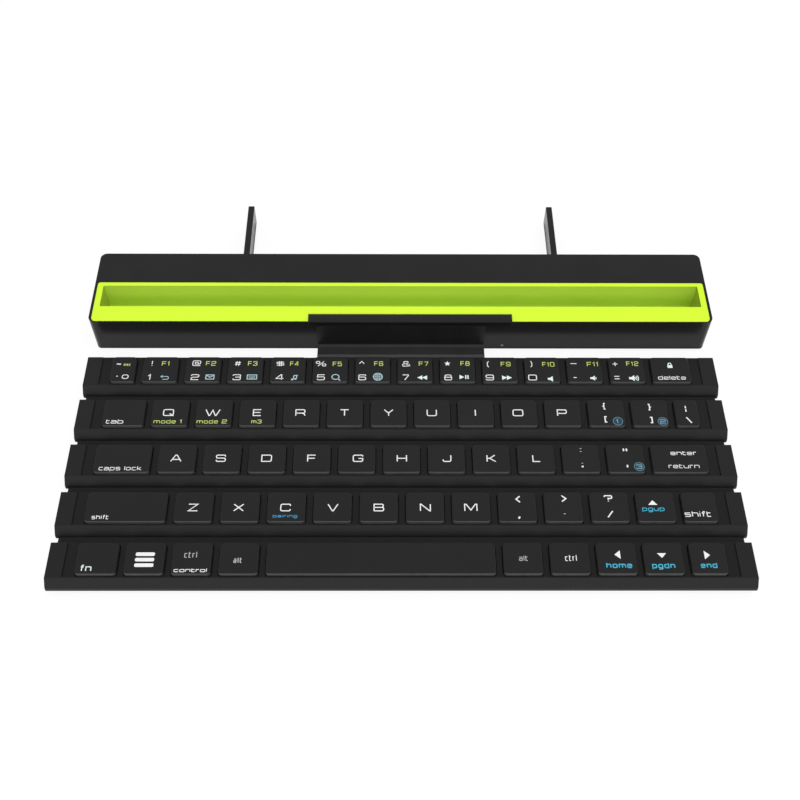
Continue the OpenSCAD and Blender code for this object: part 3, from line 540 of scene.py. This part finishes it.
def icon(bm, kind, x, y, z):
    if kind == "back":
        line(bm, x, y, [(-1.2, 0.65), (1.1, 0.65), (1.5, 0.3), (1.5, -0.5), (1.1, -0.85), (-0.9, -0.85)], z, 0.3)
        triangle(bm, x - 1.45, y + 0.65, 0.9, 1.5, "left", z)
    elif kind == "mail":
        line(bm, x, y, [(-1.7, -1.1), (1.7, -1.1), (1.7, 1.1), (-1.7, 1.1)], z, 0.38, True)
        line(bm, x, y, [(-1.6, 1.0), (0, -0.2), (1.6, 1.0)], z, 0.38)
    elif kind == "keyboard":
        line(bm, x, y, [(-2.0, -1.1), (2.0, -1.1), (2.0, 1.1), (-2.0, 1.1)], z, 0.38, True)
        for dx in (-1.2, -0.4, 0.4, 1.2):
            blob(bm, x + dx, y + 0.35, [(-0.22, -0.2), (0.22, -0.2), (0.22, 0.2), (-0.22, 0.2)], z)
        blob(bm, x, y - 0.45, [(-1.2, -0.18), (1.2, -0.18), (1.2, 0.18), (-1.2, 0.18)], z)
    elif kind == "music":
        line(bm, x, y, [(-0.55, -0.9), (-0.2, 1.1), (1.1, 1.2), (0.75, -0.6)], z, 0.36)
        blob(bm, x - 0.85, y - 0.95, [(px * 1.2, py * 0.8) for px, py in ring_points(0.5, 12)], z)
        blob(bm, x + 0.45, y - 0.65, [(px * 1.2, py * 0.8) for px, py in ring_points(0.5, 12)], z)
    elif kind == "search":
        line(bm, x - 0.4, y + 0.3, [(px * 1.15, py) for px, py in ring_points(1.3)], z, 0.4, True)
        line(bm, x, y, [(0.65, -0.6), (1.6, -1.6)], z, 0.5)
    elif kind == "globe":
        line(bm, x, y, ring_points(1.85, 28), z, 0.42, True)
        line(bm, x, y, [(-1.8, 0), (1.8, 0)], z, 0.3)
        line(bm, x, y, [(0, -1.8), (0, 1.8)], z, 0.3)
        line(bm, x, y, [(px * 0.45, py) for px, py in ring_points(1.8, 24)], z, 0.3, True)
        line(bm, x, y, [(-1.55, 0.95), (1.55, 0.95)], z, 0.26)
        line(bm, x, y, [(-1.55, -0.95), (1.55, -0.95)], z, 0.26)
    elif kind in ("rewind", "forward"):
        way = "left" if kind == "rewind" else "right"
        for dx in (-1.0, 1.0):
            triangle(bm, x + dx, y, 2.2, 2.3, way, z)
    elif kind == "play":
        triangle(bm, x - 1.1, y, 2.0, 2.3, "right", z)
        for dx in (0.55, 1.5):
            blob(bm, x + dx, y, [(-0.27, -1.0), (0.27, -1.0), (0.27, 1.0), (-0.27, 1.0)], z)
    elif kind in ("mute", "quiet", "loud"):
        s = {"mute": 1.25, "quiet": 1.15, "loud": 1.35}[kind]
        dx = {"mute": 0.0, "quiet": -0.7, "loud": -1.2}[kind]
        blob(bm, x + dx, y, [(-0.95 * s, -0.42 * s), (-0.2 * s, -0.42 * s), (0.75 * s, -1.15 * s), (0.75 * s, 1.15 * s),
                             (-0.2 * s, 0.42 * s), (-0.95 * s, 0.42 * s)], z)
        for i in range({"mute": 0, "quiet": 1, "loud": 3}[kind]):
            r = 0.75 + 0.68 * i
            line(bm, x + dx + 0.6, y, ring_points(r, 8, -42, 84), z, 0.36)
    elif kind == "lock":
        blob(bm, x, y - 0.5, [(-1.05, -0.85), (1.05, -0.85), (1.05, 0.65), (-1.05, 0.65)], z)
        line(bm, x, y, [(-0.62, 0.1), (-0.62, 0.75), (-0.35, 1.2), (0.35, 1.2), (0.62, 0.75), (0.62, 0.1)], z, 0.4)
    elif kind == "star":
        blob(bm, x, y, [(r * math.sin(math.radians(36 * i)), r * math.cos(math.radians(36 * i)))
                        for i, r in enumerate([1.35, 0.62] * 5)], z)
    elif kind == "home":
        line(bm, x, y, outline(2.5, 1.9, 0.8, 3), z, 0.34, True)
    elif kind == "menu":
        for dy in (2.3, 0, -2.3):
            blob(bm, x, y + dy, outline(7.2, 1.5, 0.5, 3), z)


# Legends: (node, index in the node, what, x, y from the key's middle, height, colour, width, stroke width)
F_PLACES = [(2.4, 3.0, 3.3), (3.6, 3.1, 4.3), (3.3, 3.1, 4.0), (3.1, 3.0, 3.8), (3.3, 2.9, 3.9), (2.9, 3.1, 3.8),
            (4.0, 3.0, 4.1), (3.7, 3.2, 3.9), (3.0, 2.9, 4.2), (3.2, 2.8, 5.2), (4.1, 2.9, 4.9), (3.1, 3.2, 5.2)]
SYMBOLS = ["!", "@", "#", "$", "%", "^", "&", "@star", "(", ")", "_", "+"]
SYMBOL_PLACES = [(-3.4, 3.1, 0, 2.9), (-2.5, 3.2, 3.6, 2.9), (-3.0, 3.1, 2.8, 2.6), (-2.9, 3.0, 3.3, 2.9),
                 (-3.6, 3.0, 4.4, 2.8), (-4.3, 3.2, 2.4, 2.4), (-3.3, 3.0, 3.6, 2.8), (-3.8, 3.1, 2.2, 2.4),
                 (-4.5, 2.8, 0.9, 3.4), (-4.1, 2.9, 0.9, 3.4), (-4.0, 3.2, 3.0, 2.0), (-4.3, 3.0, 2.4, 2.4)]
DIGITS = "1234567890-="
DIGIT_PLACES = [(-3.7, 1.5), (-2.5, 3.5), (-2.9, 3.5), (-2.8, 3.4), (-3.4, 3.4), (-4.0, 3.3), (-3.7, 2.8),
                (-3.7, 3.3), (-4.1, 3.5), (-4.0, 3.7), (-4.0, 1.7), (-4.3, 2.5)]
ICONS = [("back", 2.8, -4.5), ("mail", 3.8, -4.1), ("keyboard", 3.5, -4.1), ("music", 3.4, -4.4),
         ("search", 3.1, -4.3), ("globe", 2.6, -3.9), ("rewind", 3.3, -4.3), ("play", 3.2, -4.0),
         ("forward", 3.2, -4.3), ("mute", 3.6, -4.9), ("quiet", 4.2, -4.5), ("loud", 3.3, -4.5)]
LEGENDS = [("esc_key", 0, "~", -1.9, 2.7, 1.8, "white", 2.3, 0.5),
           ("esc_key", 0, "esc", 1.7, 2.5, 1.4, "green", 3.0, 0.32),
           ("esc_key", 0, "-", -1.8, -3.7, 1.2, "white", 1.0, 0.45),
           ("esc_key", 0, "@home", 1.7, -4.0, 0, "white", 0, 0),
           ("delete_key", 0, "delete", 0.3, -4.2, 2.1, "white", 11.8, 0.28),
           ("delete_key", 0, "@lock", 0.3, 2.3, 0, "mist", 0, 0),
           ("tab_key", 0, "tab", -2.8, -4.5, 2.1, "white", 7.0, 0.29),
           ("caps_lock_key", 0, "caps lock", 0.0, -4.7, 2.0, "white", 17.0, 0.27),
           ("enter_key", 0, "enter", 2.4, 2.6, 2.0, "white", 10.5, 0.29),
           ("enter_key", 0, "return", 1.7, -3.6, 2.0, "white", 12.4, 0.26),
           ("left_shift_key", 0, "shift", -8.9, -4.6, 1.9, "white", 6.6, 0.28),
           ("right_shift_key", 0, "shift", -0.6, -3.2, 2.5, "white", 10.3, 0.34),
           ("up_key", 0, "@up", -0.4, 1.9, 0, "white", 0, 0), ("up_key", 0, "pgup", -0.5, -0.9, 2.0, "blue", 8.7, 0.34),
           ("fn_key", 0, "fn", -2.8, -4.1, 2.7, "mist", 4.3, 0.4),
           ("menu_key", 0, "@menu", 0.8, -0.6, 0, "white", 0, 0),
           ("left_ctrl_key", 0, "ctrl", 0.2, 1.5, 2.6, "grey", 4.8, 0.32),
           ("left_ctrl_key", 0, "control", 0.7, -5.0, 1.6, "white", 12.4, 0.28),
           ("left_alt_key", 0, "alt", 0.4, -0.8, 2.4, "grey", 3.2, 0.4),
           ("right_alt_key", 0, "alt", 0.9, 0.0, 2.3, "grey", 3.4, 0.28),
           ("right_ctrl_key", 0, "ctrl", 1.1, 0.1, 2.6, "white", 4.4, 0.30),
           ("left_key", 0, "@left", 1.1, 1.5, 0, "white", 0, 0),
           ("left_key", 0, "home", 1.3, -3.0, 2.3, "blue", 9.8, 0.45),
           ("down_key", 0, "@down", 0.2, 1.1, 0, "white", 0, 0),
           ("down_key", 0, "pgdn", 0.3, -3.1, 2.3, "blue", 8.7, 0.45),
           ("right_key", 0, "@right", 0.4, 1.3, 0, "white", 0, 0),
           ("right_key", 0, "end", 0.4, -3.0, 2.3, "blue", 6.2, 0.45),
           ("backslash_key", 0, "|", 0.2, 2.0, 3.4, "white", 0, 0.5),
           ("backslash_key", 0, "\\", 0.8, -3.6, 3.3, "white", 2.4, 0.5)]
for i in range(12):
    fx, fy, fw = F_PLACES[i]
    sx, sy, sw, sh = SYMBOL_PLACES[i]
    LEGENDS += [("digit_keys", i, "F%d" % (i + 1), fx, fy, 2.4, "green", fw, 0.34),
                ("digit_keys", i, SYMBOLS[i], sx, sy, sh, "white", sw, 0.34),
                ("digit_keys", i, DIGITS[i], DIGIT_PLACES[i][0], -4.2, 3.0, "white", DIGIT_PLACES[i][1], 0.38),
                ("digit_keys", i, "@" + ICONS[i][0], ICONS[i][1], ICONS[i][2], 0, "mist" if i > 5 else "cyan", 0, 0)]
UPPER_X = [-0.3, -0.1, 0.2, 0.0, 0.2, 0.4, 0.2, 0.2, -0.2, 0.0]
HOME_X = [0.1, 0.0, 0.3, 0.3, 0.9, 0.5, 0.6, 0.4, 0.5]
LOWER_X = [0.4, 0.1, 0.3, 0.7, 0.6, 0.7, 0.4]
LEGENDS += [("upper_letter_keys", i, c, UPPER_X[i], -0.05, 3.4, "white", 0, 0.43) for i, c in enumerate("QWERTYUIOP")]
LEGENDS += [("home_letter_keys", i, c, HOME_X[i], 0.0, 3.4, "white", 0, 0.43) for i, c in enumerate("ASDFGHJKL")]
LEGENDS += [("lower_letter_keys", i, c, LOWER_X[i], -0.35, 3.4, "white", 0, 0.43) for i, c in enumerate("ZXCVBNM")]
LEGENDS += [
    ("upper_letter_keys", 0, "mode 1", -0.1, -4.5, 2.0, "green", 11.6, 0.30),
    ("upper_letter_keys", 1, "mode 2", -0.1, -4.5, 2.0, "green", 12.4, 0.30),
    ("upper_letter_keys", 2, "m3", 0.2, -4.5, 2.0, "green", 4.2, 0.30),
    ("upper_letter_keys", 10, "{", -0.2, 3.3, 3.3, "white", 0, 0.45),
    ("upper_letter_keys", 10, "[", -0.1, -3.3, 3.2, "white", 0, 0.5),
    ("upper_letter_keys", 11, "}", 0.5, 2.9, 3.3, "white", 0, 0.45),
    ("upper_letter_keys", 11, "]", 0.5, -3.6, 3.2, "white", 0, 0.5),
    ("home_letter_keys", 9, ":", 0.7, 4.0, 2.9, "white", 0, 0.8),
    ("home_letter_keys", 9, ";", 0.6, -2.9, 2.7, "white", 0, 0.75),
    ("home_letter_keys", 10, "\"", 0.6, 3.2, 3.6, "white", 1.8, 0.6),
    ("home_letter_keys", 10, "'", 0.7, -4.5, 3.4, "white", 0, 0.6),
    ("lower_letter_keys", 2, "pairing", 0.3, -4.1, 1.4, "steel_blue", 9.6, 0.34),
    ("lower_letter_keys", 7, "<", 1.0, 3.4, 3.2, "white", 2.0, 0.5),
    ("lower_letter_keys", 7, ",", 0.9, -3.9, 3.0, "white", 0, 0.7),
    ("lower_letter_keys", 8, ">", 1.0, 3.7, 3.1, "white", 2.1, 0.5),
    ("lower_letter_keys", 8, ".", 0.8, -2.9, 2.4, "white", 0, 0.8),
    ("lower_letter_keys", 9, "?", 0.4, 3.7, 3.1, "white", 3.4, 0.5),
    ("lower_letter_keys", 9, "/", 0.5, -3.3, 3.3, "white", 2.6, 0.5)]
# The prints of each row sit a little left of where their keys' middles put them
LEGEND_SHIFT = [0.37, 0.36, 0.40, 0.55, 0.72]
ARROWS = {"up": (3.6, 2.1), "down": (3.5, 2.0), "left": (2.2, 3.6), "right": (2.2, 3.6)}
print_meshes = {}
for node, index, what, dx, dy, height, colour, width, weight in LEGENDS:
    x, y, _ = KEY_PLACES[node][index]
    x -= LEGEND_SHIFT[KEY_ROW[node]]
    bm = print_meshes.setdefault((node, colour), bmesh.new())
    if what.startswith("@") and len(what) > 1:
        kind = what[1:]
        if kind in ARROWS:
            triangle(bm, x + dx, y + dy, *ARROWS[kind], kind, KEY_TOP)
        else:
            icon(bm, kind, x + dx, y + dy, KEY_TOP)
    else:
        write(bm, what, x + dx, y + dy, height, KEY_TOP, width or None, weight)
# Numbers in rings
RING_NUMBERS = [("upper_letter_keys", 10, "1", 4.7, -4.2), ("upper_letter_keys", 11, "2", 5.2, -4.3),
                ("home_letter_keys", 10, "3", 5.9, -3.9)]
for node, index, digit, dx, dy in RING_NUMBERS:
    x, y, w = KEY_PLACES[node][index]
    dx = min(dx, w / 2 - 2.1) - LEGEND_SHIFT[KEY_ROW[node]]
    disc = print_meshes.setdefault((node, "deep_blue"), bmesh.new())
    prism(disc, [(x + dx + px, y + dy + py) for px, py in ring_points(1.8, 24)], KEY_TOP - 0.03, KEY_TOP + 0.01)
    ring = print_meshes.setdefault((node, "ring_blue"), bmesh.new())
    line(ring, x + dx, y + dy, ring_points(1.95, 28), KEY_TOP, 0.34, True)
    number = print_meshes.setdefault((node, "pale_blue"), bmesh.new())
    write(number, digit, x + dx - (0.3 if digit == "1" else 0), y + dy, 2.1, KEY_TOP, None, 0.34)
for (node, colour), bm in print_meshes.items():
    piece("%s_legends_%s" % (node, colour), bm, node, PRINTS[colour], smooth=20)

# ---------------------------------------------------------------- clamp plate, band, strips, light
CLAMP_X0, CLAMP_X1 = -39.8, 47.6


def along_x(bm, profile, x0, x1, round_r, steps=3):
    """A closed outline in Y and Z run along X, its two ends drawn in by round_r."""
    stations = []
    for i in range(steps + 1):
        a = math.pi / 2 * i / steps
        stations.append((x0 + round_r * (1 - math.sin(a)), round_r * (1 - math.cos(a))))
    for i in range(steps + 1):
        a = math.pi / 2 * (steps - i) / steps
        stations.append((x1 - round_r * (1 - math.sin(a)), round_r * (1 - math.cos(a))))
    rings = []
    for x, inset in stations:
        ring = []
        n = len(profile)
        for i in range(n):
            p, a, b = Vector(profile[i]), Vector(profile[i - 1]), Vector(profile[(i + 1) % n])
            d1, d2 = (p - a).normalized(), (b - p).normalized()
            inward = Vector((-(d1.y + d2.y), d1.x + d2.x))
            if inward.length < 1e-6:
                inward = Vector((-d1.y, d1.x))
            inward.normalize()
            scale = 1 / max(0.5, inward.dot(Vector((-d1.y, d1.x))))
            q = p + inward * inset * scale
            ring.append((x, q.x, q.y))
        rings.append(ring)
    loft(bm, rings)


def rounded(points, radii, steps=3):
    """A polygon with its corners rounded; points counter-clockwise."""
    out = []
    n = len(points)
    for i in range(n):
        p, a, b = Vector(points[i]), Vector(points[i - 1]), Vector(points[(i + 1) % n])
        r = radii[i] if isinstance(radii, (list, tuple)) else radii
        if r <= 0:
            out.append(tuple(p))
            continue
        da, db = (a - p).normalized(), (b - p).normalized()
        half = math.acos(max(-1, min(1, da.dot(db)))) / 2
        reach = min(r / math.tan(half), (a - p).length * 0.49, (b - p).length * 0.49)
        r = reach * math.tan(half)
        centre = p + (da + db).normalized() * (r / math.sin(half))
        s, e = p + da * reach - centre, p + db * reach - centre
        sweep = math.atan2(s.x * e.y - s.y * e.x, s.dot(e))
        for j in range(steps + 1):
            t = sweep * j / steps
            out.append((centre.x + s.x * math.cos(t) - s.y * math.sin(t),
                        centre.y + s.x * math.sin(t) + s.y * math.cos(t)))
    return out


bm = bmesh.new()
CLAMP_FRONT, CLAMP_BACK, CLAMP_TOP = BAR_Y - 0.8, BAR_Y + 4.2, 19.8
CLAMP_FOOT, LIP_Z = 17.4, 18.7
clamp = [(CLAMP_FRONT, CLAMP_FOOT), (BAR_Y, CLAMP_FOOT), (BAR_Y, BAR_H), (CLAMP_BACK, BAR_H), (CLAMP_BACK, CLAMP_TOP),
         (CLAMP_FRONT, CLAMP_TOP), (CLAMP_FRONT, LIP_Z)]
along_x(bm, rounded(clamp, [0.15, 0.1, 0, 0.05, 0.25, 0.3, 0]), CLAMP_X0, CLAMP_X1, 0.2)
piece("clamp_plate_moulded", bm, "stand_bar", MATS["clamp_black"], replaces=("clamp_plate",),
      # Painted highlight on the lip's upper front face
      accents=((CLAMP_LIP_HIGHLIGHT, lambda f: f.normal.y < -0.5 and f.calc_center_median().z > LIP_Z),))

# The tray: a lipped rim round a walled slot, one closed moulding
def corners(x, y0, y1, r_back, r_front, z, steps=5):
    """Rounded rectangle from -x to x and y0 to y1 with its own radii at the back and the front."""
    ring = []
    for qx, qy, start in ((1, 1, 0), (-1, 1, 90), (-1, -1, 180), (1, -1, 270)):
        r = r_back if qy > 0 else r_front
        cy = y1 - r if qy > 0 else y0 + r
        for i in range(steps + 1):
            a = math.radians(start + 90 * i / steps)
            ring.append((qx * (x - r) + r * math.cos(a), cy + r * math.sin(a), z))
    return ring


TRAY_X, TRAY_Y0, TRAY_Y1, TRAY_UNDER = 132.9, 21.06, 43.16, 17.4
SLOT_X, SLOT_Y0, SLOT_Y1, SLOT_Z, SLOT_WALL = 130.2, 29.36, 41.06, 5.5, 1.2
wall_x, wall_y0, wall_y1, wall_z = SLOT_X + SLOT_WALL, SLOT_Y0 - SLOT_WALL, SLOT_Y1 + SLOT_WALL, SLOT_Z - SLOT_WALL
rings = [corners(wall_x - 0.3, wall_y0 + 0.3, wall_y1 - 0.3, 0.5, 0.5, wall_z),
         corners(wall_x, wall_y0, wall_y1, 0.5, 0.5, wall_z + 0.3),
         corners(wall_x, wall_y0, wall_y1, 0.5, 0.5, TRAY_UNDER),
         corners(TRAY_X, TRAY_Y0, TRAY_Y1, 0.9, 2.2, TRAY_UNDER)]
for inset, z in fillet_levels(0.3, BAR_H, 4):
    rings.append(corners(TRAY_X - inset, TRAY_Y0 + inset, TRAY_Y1 - inset, 0.9 - inset, 2.2 - inset, z))
for inset, z in reversed(fillet_levels(0.22, BAR_H, 3)):
    rings.append(corners(SLOT_X + 0.22 - inset, SLOT_Y0 - 0.22 + inset, SLOT_Y1 + 0.22 - inset, 0.45, 0.45, z))
for inset, z in fillet_levels(0.8, SLOT_Z, 4, up=False):
    rings.append(corners(SLOT_X - inset, SLOT_Y0 + inset, SLOT_Y1 - inset, 0.45 + inset * 0.2, 0.45 + inset * 0.2, z))
bm = bmesh.new()
loft(bm, rings)


def in_slot(f):
    c = f.calc_center_median()
    return abs(c.x) < SLOT_X + 0.25 and SLOT_Y0 - 0.25 < c.y < SLOT_Y1 + 0.25 and SLOT_Z - 0.6 < c.z < BAR_H - 0.25


piece("device_tray_moulded", bm, "stand_bar", MATS["tray_lime"], replaces=("device_tray",),
      # Painted shade inside the slot, darker still on its end walls
      accents=((SLOT_END_SHADE, lambda f: in_slot(f) and abs(f.normal.x) > 0.7), (SLOT_WALL_SHADE, in_slot)))

# The band: down the front face, round the bend and forward into row 1, in fine steps
BAND_X, BAND_Z, BAND_TIP_Y, RIB_Y = 36.4, 4.0, 10.06, 13.9
BEND_Y, BEND_Z, BEND_R, BEND_STEPS = BAR_Y - 2.5, 6.0, 2.0, 6
bm = bmesh.new()
middle = [(BAR_Y - 0.5, z) for z in (17.4, 15.0, 12.0, 9.0, BEND_Z)]
for i in range(1, BEND_STEPS + 1):
    a = math.pi / 2 * i / BEND_STEPS
    middle.append((BEND_Y + BEND_R * math.cos(a), BEND_Z - BEND_R * math.sin(a)))
y = BEND_Y
while y > 10.3:
    y -= 0.25 if 10.9 < y < 15.8 else 0.75
    middle.append((max(y, BAND_TIP_Y), BAND_Z))
if middle[-1][0] > BAND_TIP_Y + 0.01:
    middle.append((BAND_TIP_Y, BAND_Z))
rings = []
cross = rounded([(-BAND_X, -0.5), (BAND_X, -0.5), (BAND_X, 0.5), (-BAND_X, 0.5)], 0.18, 2)
for i, (py, pz) in enumerate(middle):
    a = middle[max(i - 1, 0)]
    b = middle[min(i + 1, len(middle) - 1)]
    d = Vector((b[0] - a[0], b[1] - a[1])).normalized()
    n = Vector((-d.y, d.x))
    # A raised rib where the band starts to fold
    rib = 0.42 * math.cos(math.pi / 2 * min(1.0, abs(py - RIB_Y))) if pz < 4.1 else 0.0
    rings.append([(x, py + n.x * t, pz + n.y * t + (rib if t * n.y > 0 else 0.0)) for x, t in cross])
loft(bm, rings)
piece("link_band_moulded", bm, None, MATS["band_black"], replaces=("link_band",),
      blend=("stand_bar", "row_1", (0, 13.26, 4), (0, 11.26, 4)),
      # Painted highlight on the rib's top, painted light on the band's lying part
      accents=((BAND_RIB_HIGHLIGHT, lambda f: 12.9 < f.calc_center_median().y < 14.5 and f.normal.z > 0.3),
               (BAND_FLAT_LIT, lambda f: f.calc_center_median().z < 5.2 and f.normal.z > 0.3)))

ROW_D, STRIP_GAP, STRIP_X = 17.9, 2.23, 132.8
for k in range(4):
    y0 = ROW_Y[k] - ROW_D
    bm = bmesh.new()
    ys = [y0 + 1.3, y0 + 0.6, y0 + 0.1] + [y0 - STRIP_GAP * i / 8 for i in range(9)] + [y0 - 2.33, y0 - 2.9, y0 - 3.53]
    cross = rounded([(-STRIP_X, -0.5), (STRIP_X, -0.5), (STRIP_X, 0.5), (-STRIP_X, 0.5)], 0.18, 2)
    # A shallow groove along the middle of the strip, where it folds
    rings = []
    for y in ys:
        dip = 0.14 * max(0.0, 1 - abs(y - (y0 - 1.115)) / 0.8)
        rings.append([(x, y, HINGE_Z + (t - dip if t > 0 else t + dip)) for x, t in cross])
    loft(bm, rings)
    piece("hinge_strip_%d_moulded" % (k + 1), bm, None, MATS["strip_rubber"],
          replaces=("hinge_strip_%d" % (k + 1),),
          blend=("row_%d" % (k + 1), "row_%d" % (k + 2), (0, y0, HINGE_Z), (0, y0 - STRIP_GAP, HINGE_Z)))

# Status light: a lens in a fine bezel
LED_X, LED_Z, LED_R = 44.5, 3.1, 0.6
bm = bmesh.new()
rings = []
LENS = [(LED_R, 22.1), (LED_R, BAR_Y + 0.02), (LED_R - 0.06, BAR_Y - 0.03), (LED_R - 0.12, BAR_Y - 0.03),
        (LED_R - 0.16, BAR_Y + 0.05), (0.38, BAR_Y - 0.02), (0.2, BAR_Y - 0.07)]
for r, y in LENS:
    rings.append([(LED_X + r * math.cos(math.radians(15 * i)), y, LED_Z + r * math.sin(math.radians(15 * i)))
                  for i in range(24)])
loft(bm, rings)
solid(bm, 1.7, 1.0, 0.4, LED_Z - 0.85, LED_Z + 0.85, 0.1, 0.1, LED_X, 22.6)
piece("status_led_lens", bm, "stand_bar", MATS["led_teal"], replaces=("status_led",))

# Tongue and contacts inside the charging socket
SOCKET_X, SOCKET_BACK, SOCKET_Z = 40.0, BAR_Y + BAR_D - 0.3, 4.3
bm = bmesh.new()
solid(bm, 5.2, 3.6, 0.15, SOCKET_Z + 1.2, SOCKET_Z + 1.7, 0.08, 0.08, SOCKET_X, SOCKET_BACK - 2.8, 2)
piece("socket_tongue", bm, "stand_bar", MATS["base_black"])
bm = bmesh.new()
for i in range(5):
    solid(bm, 0.35, 2.6, 0.1, SOCKET_Z + 1.16, SOCKET_Z + 1.22, 0.02, 0.01,
          SOCKET_X - 1.6 + 0.8 * i, SOCKET_BACK - 2.4, 2)
GOLD = material("contact_gold", (0.75, 0.52, 0.20), (0.85, 0.62, 0.28), rough=0.25, metallic=1.0, grain=0.05,
                bump=0.002, blotch=1)
piece("socket_contacts", bm, "stand_bar", GOLD)

# ---------------------------------------------------------------- floor, light, camera
def light_path_mix(tree, a, b):
    """Shader a, or b for camera, glossy and transmission rays."""
    path = tree.nodes.new("ShaderNodeLightPath")
    one, two = tree.nodes.new("ShaderNodeMath"), tree.nodes.new("ShaderNodeMath")
    one.operation = two.operation = "MAXIMUM"
    tree.links.new(path.outputs["Is Camera Ray"], one.inputs[0])
    tree.links.new(path.outputs["Is Glossy Ray"], one.inputs[1])
    tree.links.new(one.outputs[0], two.inputs[0])
    tree.links.new(path.outputs["Is Transmission Ray"], two.inputs[1])
    mix = tree.nodes.new("ShaderNodeMixShader")
    tree.links.new(two.outputs[0], mix.inputs[0])
    tree.links.new(a, mix.inputs[1])
    tree.links.new(b, mix.inputs[2])
    return mix


world = bpy.data.worlds.new("studio")
bpy.context.scene.world = world
world.use_nodes = True
tree = world.node_tree
soft = tree.nodes["Background"]
soft.inputs["Color"].default_value = (1, 1, 1, 1)
soft.inputs["Strength"].default_value = 0.62
white = tree.nodes.new("ShaderNodeBackground")
white.inputs["Color"].default_value = (1, 1, 1, 1)
white.inputs["Strength"].default_value = 1.0
mix = light_path_mix(tree, soft.outputs[0], white.outputs[0])
tree.links.new(mix.outputs[0], tree.nodes["World Output"].inputs["Surface"])

floor_mat = bpy.data.materials.new("floor")
floor_mat.use_nodes = True
tree = floor_mat.node_tree
tree.nodes.remove(tree.nodes["Principled BSDF"])
diffuse = tree.nodes.new("ShaderNodeBsdfDiffuse")
diffuse.inputs["Color"].default_value = (0.92, 0.92, 0.92, 1)
share = tree.nodes.new("ShaderNodeBsdfDiffuse")
share.inputs["Color"].default_value = (0.12, 0.12, 0.12, 1)
glow = tree.nodes.new("ShaderNodeEmission")
glow.inputs["Color"].default_value = (1, 1, 1, 1)
glow.inputs["Strength"].default_value = 0.90
both = tree.nodes.new("ShaderNodeAddShader")
tree.links.new(share.outputs[0], both.inputs[0])
tree.links.new(glow.outputs[0], both.inputs[1])
# Painted shadow in reflections: the floor is white in the open and darkened by an occlusion test close under the object
shadow_ao = tree.nodes.new("ShaderNodeAmbientOcclusion")
shadow_ao.samples = 8
shadow_ao.inputs["Distance"].default_value = 0.0035
spread = tree.nodes.new("ShaderNodeMapRange")
for key, value in (("From Min", 0.45), ("From Max", 0.8), ("To Min", 0.0), ("To Max", 1.0)):
    spread.inputs[key].default_value = value
tree.links.new(shadow_ao.outputs["AO"], spread.inputs["Value"])
mirrored = tree.nodes.new("ShaderNodeEmission")
tree.links.new(spread.outputs["Result"], mirrored.inputs["Strength"])
path = tree.nodes.new("ShaderNodeLightPath")
seen = tree.nodes.new("ShaderNodeMixShader")
tree.links.new(path.outputs["Is Glossy Ray"], seen.inputs[0])
tree.links.new(both.outputs[0], seen.inputs[1])
tree.links.new(mirrored.outputs[0], seen.inputs[2])
mix = light_path_mix(tree, diffuse.outputs[0], seen.outputs[0])
tree.links.new(mix.outputs[0], tree.nodes["Material Output"].inputs["Surface"])
bm = bmesh.new()
bmesh.ops.create_grid(bm, x_segments=2, y_segments=2, size=2.5)
mesh = bpy.data.meshes.new("floor")
bm.to_mesh(mesh)
bm.free()
mesh.materials.append(floor_mat)
floor = bpy.data.objects.new("floor", mesh)
floor.location.z = -0.03 * MM
bpy.context.scene.collection.objects.link(floor)


def lamp(name, place, aim, w, h, power, glossy=True):
    data = bpy.data.lights.new(name, "AREA")
    data.shape = "RECTANGLE"
    data.size, data.size_y, data.energy = w, h, power
    o = bpy.data.objects.new(name, data)
    o.location = place
    o.rotation_mode = "QUATERNION"
    o.rotation_quaternion = (Vector(aim) - Vector(place)).to_track_quat("-Z", "Y")
    bpy.context.scene.collection.objects.link(o)
    o.visible_glossy = glossy
    return o


lamp("top_soft", (0.35, -0.25, 1.5), (0, 0, 0), 1.6, 1.2, 9.0, glossy=False)
lamp("front_soft", (0.0, -1.5, 0.95), (0, 0, 0), 1.6, 0.5, 7.0, glossy=False)
lamp("back_soft", (0.2, 1.3, 1.2), (0, 0, 0), 1.2, 0.8, 3.0, glossy=False)

camera = bpy.data.cameras.new("camera")
camera.lens, camera.sensor_width = 50.0, 36.0
camera.clip_start, camera.clip_end = 0.01, 20.0
# Where the photo was taken from, fitted to the object's outline in it
eye = bpy.data.objects.new("camera", camera)
turn = (Matrix.Rotation(math.radians(-0.722), 4, "Z") @ Matrix.Rotation(math.radians(35.486), 4, "X")
        @ Matrix.Rotation(math.radians(0.637), 4, "Z"))
eye.matrix_world = Matrix.Translation((-0.00393, -0.28256, 0.38694)) @ turn
bpy.context.scene.collection.objects.link(eye)
bpy.context.scene.camera = eye
bpy.context.scene.view_settings.view_transform = "Standard"

bpy.context.view_layer.update()
